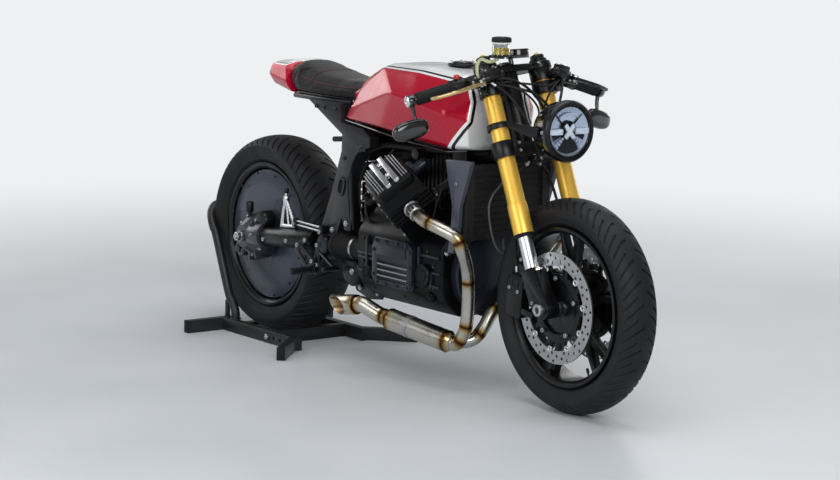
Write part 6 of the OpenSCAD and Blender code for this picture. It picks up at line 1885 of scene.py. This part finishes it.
# %% Studio
def studio_floor():
    """A round pale floor that fades into the white surround."""
    rings, steps = [0.0, 1.2, 2.4, 4.5, 9.0, 30.0, 60.0], 64
    mesh = bpy.data.meshes.new("studio_floor")
    points = [(r * math.cos(math.tau * k / steps), r * math.sin(math.tau * k / steps), 0)
              for r in rings[1:] for k in range(steps)] + [(0, 0, 0)]
    faces = [(k, (k + 1) % steps, len(points) - 1) for k in range(steps)]
    for i in range(len(rings) - 2):
        a, b = i * steps, (i + 1) * steps
        faces += [(a + k, b + k, b + (k + 1) % steps, a + (k + 1) % steps) for k in range(steps)]
    mesh.from_pydata(points, [], faces)
    made = in_scene("studio_floor", mesh)
    coat = bpy.data.materials.new("polished_concrete")
    coat.use_nodes = True
    tree, shader = parts_of(coat)
    shader.inputs["Specular IOR Level"].default_value = 0.3
    where = put(tree, "ShaderNodeTexCoord")
    away = put(tree, "ShaderNodeVectorMath", links={0: where.outputs["Object"]}, operation="LENGTH")
    cloud = put(tree, "ShaderNodeTexNoise", {"Scale": 1.6, "Detail": 6.0}, {"Vector": where.outputs["Object"]})
    fine = put(tree, "ShaderNodeTexNoise", {"Scale": 30.0, "Detail": 4.0}, {"Vector": where.outputs["Object"]})
    both = put(tree, "ShaderNodeMath", {1: 0.25}, {0: fine.outputs[0], 2: cloud.outputs[0]}, operation="MULTIPLY_ADD")
    shade = put(tree, "ShaderNodeValToRGB", links={0: both.outputs[0]})
    for stop, place, colour in zip(shade.color_ramp.elements, (0.4, 0.85), ("#c3c8cc", "#cdd1d5")):
        stop.position, stop.color = place, linear(colour)
    gloss = put(tree, "ShaderNodeMapRange", {"From Min": 0.4, "From Max": 0.85, "To Min": 0.34, "To Max": 0.46},
                {"Value": both.outputs[0]})
    tree.links.new(shade.outputs[0], shader.inputs["Base Color"])
    tree.links.new(gloss.outputs[0], shader.inputs["Roughness"])
    # Far away the floor turns into the white of the surround for the camera, for mirrors and for glass.
    fade = put(tree, "ShaderNodeMapRange", {"From Min": 1.3, "From Max": 4.6}, {"Value": away.outputs["Value"]},
               interpolation_type="SMOOTHSTEP")
    ray = put(tree, "ShaderNodeLightPath")
    seen = put(tree, "ShaderNodeMath", links={0: ray.outputs["Is Camera Ray"], 1: ray.outputs["Is Glossy Ray"]},
               operation="MAXIMUM")
    seen = put(tree, "ShaderNodeMath", links={0: seen.outputs[0], 1: ray.outputs["Is Transmission Ray"]},
               operation="MAXIMUM")
    how = put(tree, "ShaderNodeMath", links={0: fade.outputs[0], 1: seen.outputs[0]}, operation="MULTIPLY")
    white = put(tree, "ShaderNodeEmission", {"Color": linear("#eef0f2"), "Strength": 1.0})
    mixed = put(tree, "ShaderNodeMixShader", links={0: how.outputs[0], 1: shader.outputs[0], 2: white.outputs[0]})
    tree.links.new(mixed.outputs[0], tree.nodes["Material Output"].inputs["Surface"])
    mesh.materials.append(coat)
    made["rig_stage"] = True


def soft_lamp(name, place, aim, size, power):
    """A wide lamp at a place, turned to an aim and hidden from the camera."""
    lamp = bpy.data.lights.new(name, "AREA")
    lamp.shape = "RECTANGLE"
    lamp.size, lamp.size_y = size
    lamp.energy = power
    made = in_scene(name, lamp)
    made.location = place
    made.rotation_euler = (Vector(aim) - Vector(place)).to_track_quat("-Z", "Y").to_euler()
    made.visible_camera = False


studio_floor()
soft_lamp("overhead_softbox", (0.3, 0.0, 4.6), (0, 0, 0.3), (5.2, 3.2), 124)
soft_lamp("right_softbox", (0.6, -4.0, 1.9), (0, 0, 0.5), (3.2, 2.0), 52)
soft_lamp("front_softbox", (4.6, -1.8, 2.4), (0.4, 0, 0.6), (2.6, 2.2), 88)
soft_lamp("left_softbox", (-1.5, 3.8, 2.0), (0, 0, 0.5), (3.2, 2.0), 34)
soft_lamp("rear_softbox", (-4.0, -0.8, 2.0), (-0.4, 0, 0.5), (2.4, 1.8), 28)

scene = bpy.context.scene
world = bpy.data.worlds.new("white_surround")
scene.world = world
world.use_nodes = True
tree = world.node_tree
for each in list(tree.nodes):
    tree.nodes.remove(each)
ray = put(tree, "ShaderNodeLightPath")
glow = put(tree, "ShaderNodeBackground", {"Color": linear("#f4f6f8"), "Strength": 0.27})
white = put(tree, "ShaderNodeBackground", {"Color": linear("#eef0f2"), "Strength": 1.0})
mixed = put(tree, "ShaderNodeMixShader",
            links={0: ray.outputs["Is Camera Ray"], 1: glow.outputs[0], 2: white.outputs[0]})
put(tree, "ShaderNodeOutputWorld", links={0: mixed.outputs[0]})

# %% Camera
# The place, the turns and the lens were fitted to the wheels in the photograph
yaw, pitch, roll = 2.5030, -0.1513, 0.0183
ahead = Vector((math.cos(pitch) * math.cos(yaw), math.cos(pitch) * math.sin(yaw), math.sin(pitch)))
across = ahead.cross(Vector((0, 0, 1))).normalized()
above = across.cross(ahead)
right = across * math.cos(roll) + above * math.sin(roll)
up = above * math.cos(roll) - across * math.sin(roll)
lens = bpy.data.cameras.new("photo_camera")
lens.lens, lens.sensor_width, lens.clip_end = 108.18, 36.0, 200
camera = in_scene("photo_camera", lens)
stands = Matrix.Translation((6.002065, -4.4358, 1.5230))
camera.matrix_world = stands @ Matrix((right, up, -ahead)).transposed().to_4x4()
scene.camera = camera
scene.view_settings.view_transform = "Standard"

# %% [markdown]
# ## Dressed size
# The size of the dressed machine, without the floor, is printed.

# %% Sizes and finish
low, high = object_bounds()
print("visual", tuple(round(v, 4) for v in low), tuple(round(v, 4) for v in high))
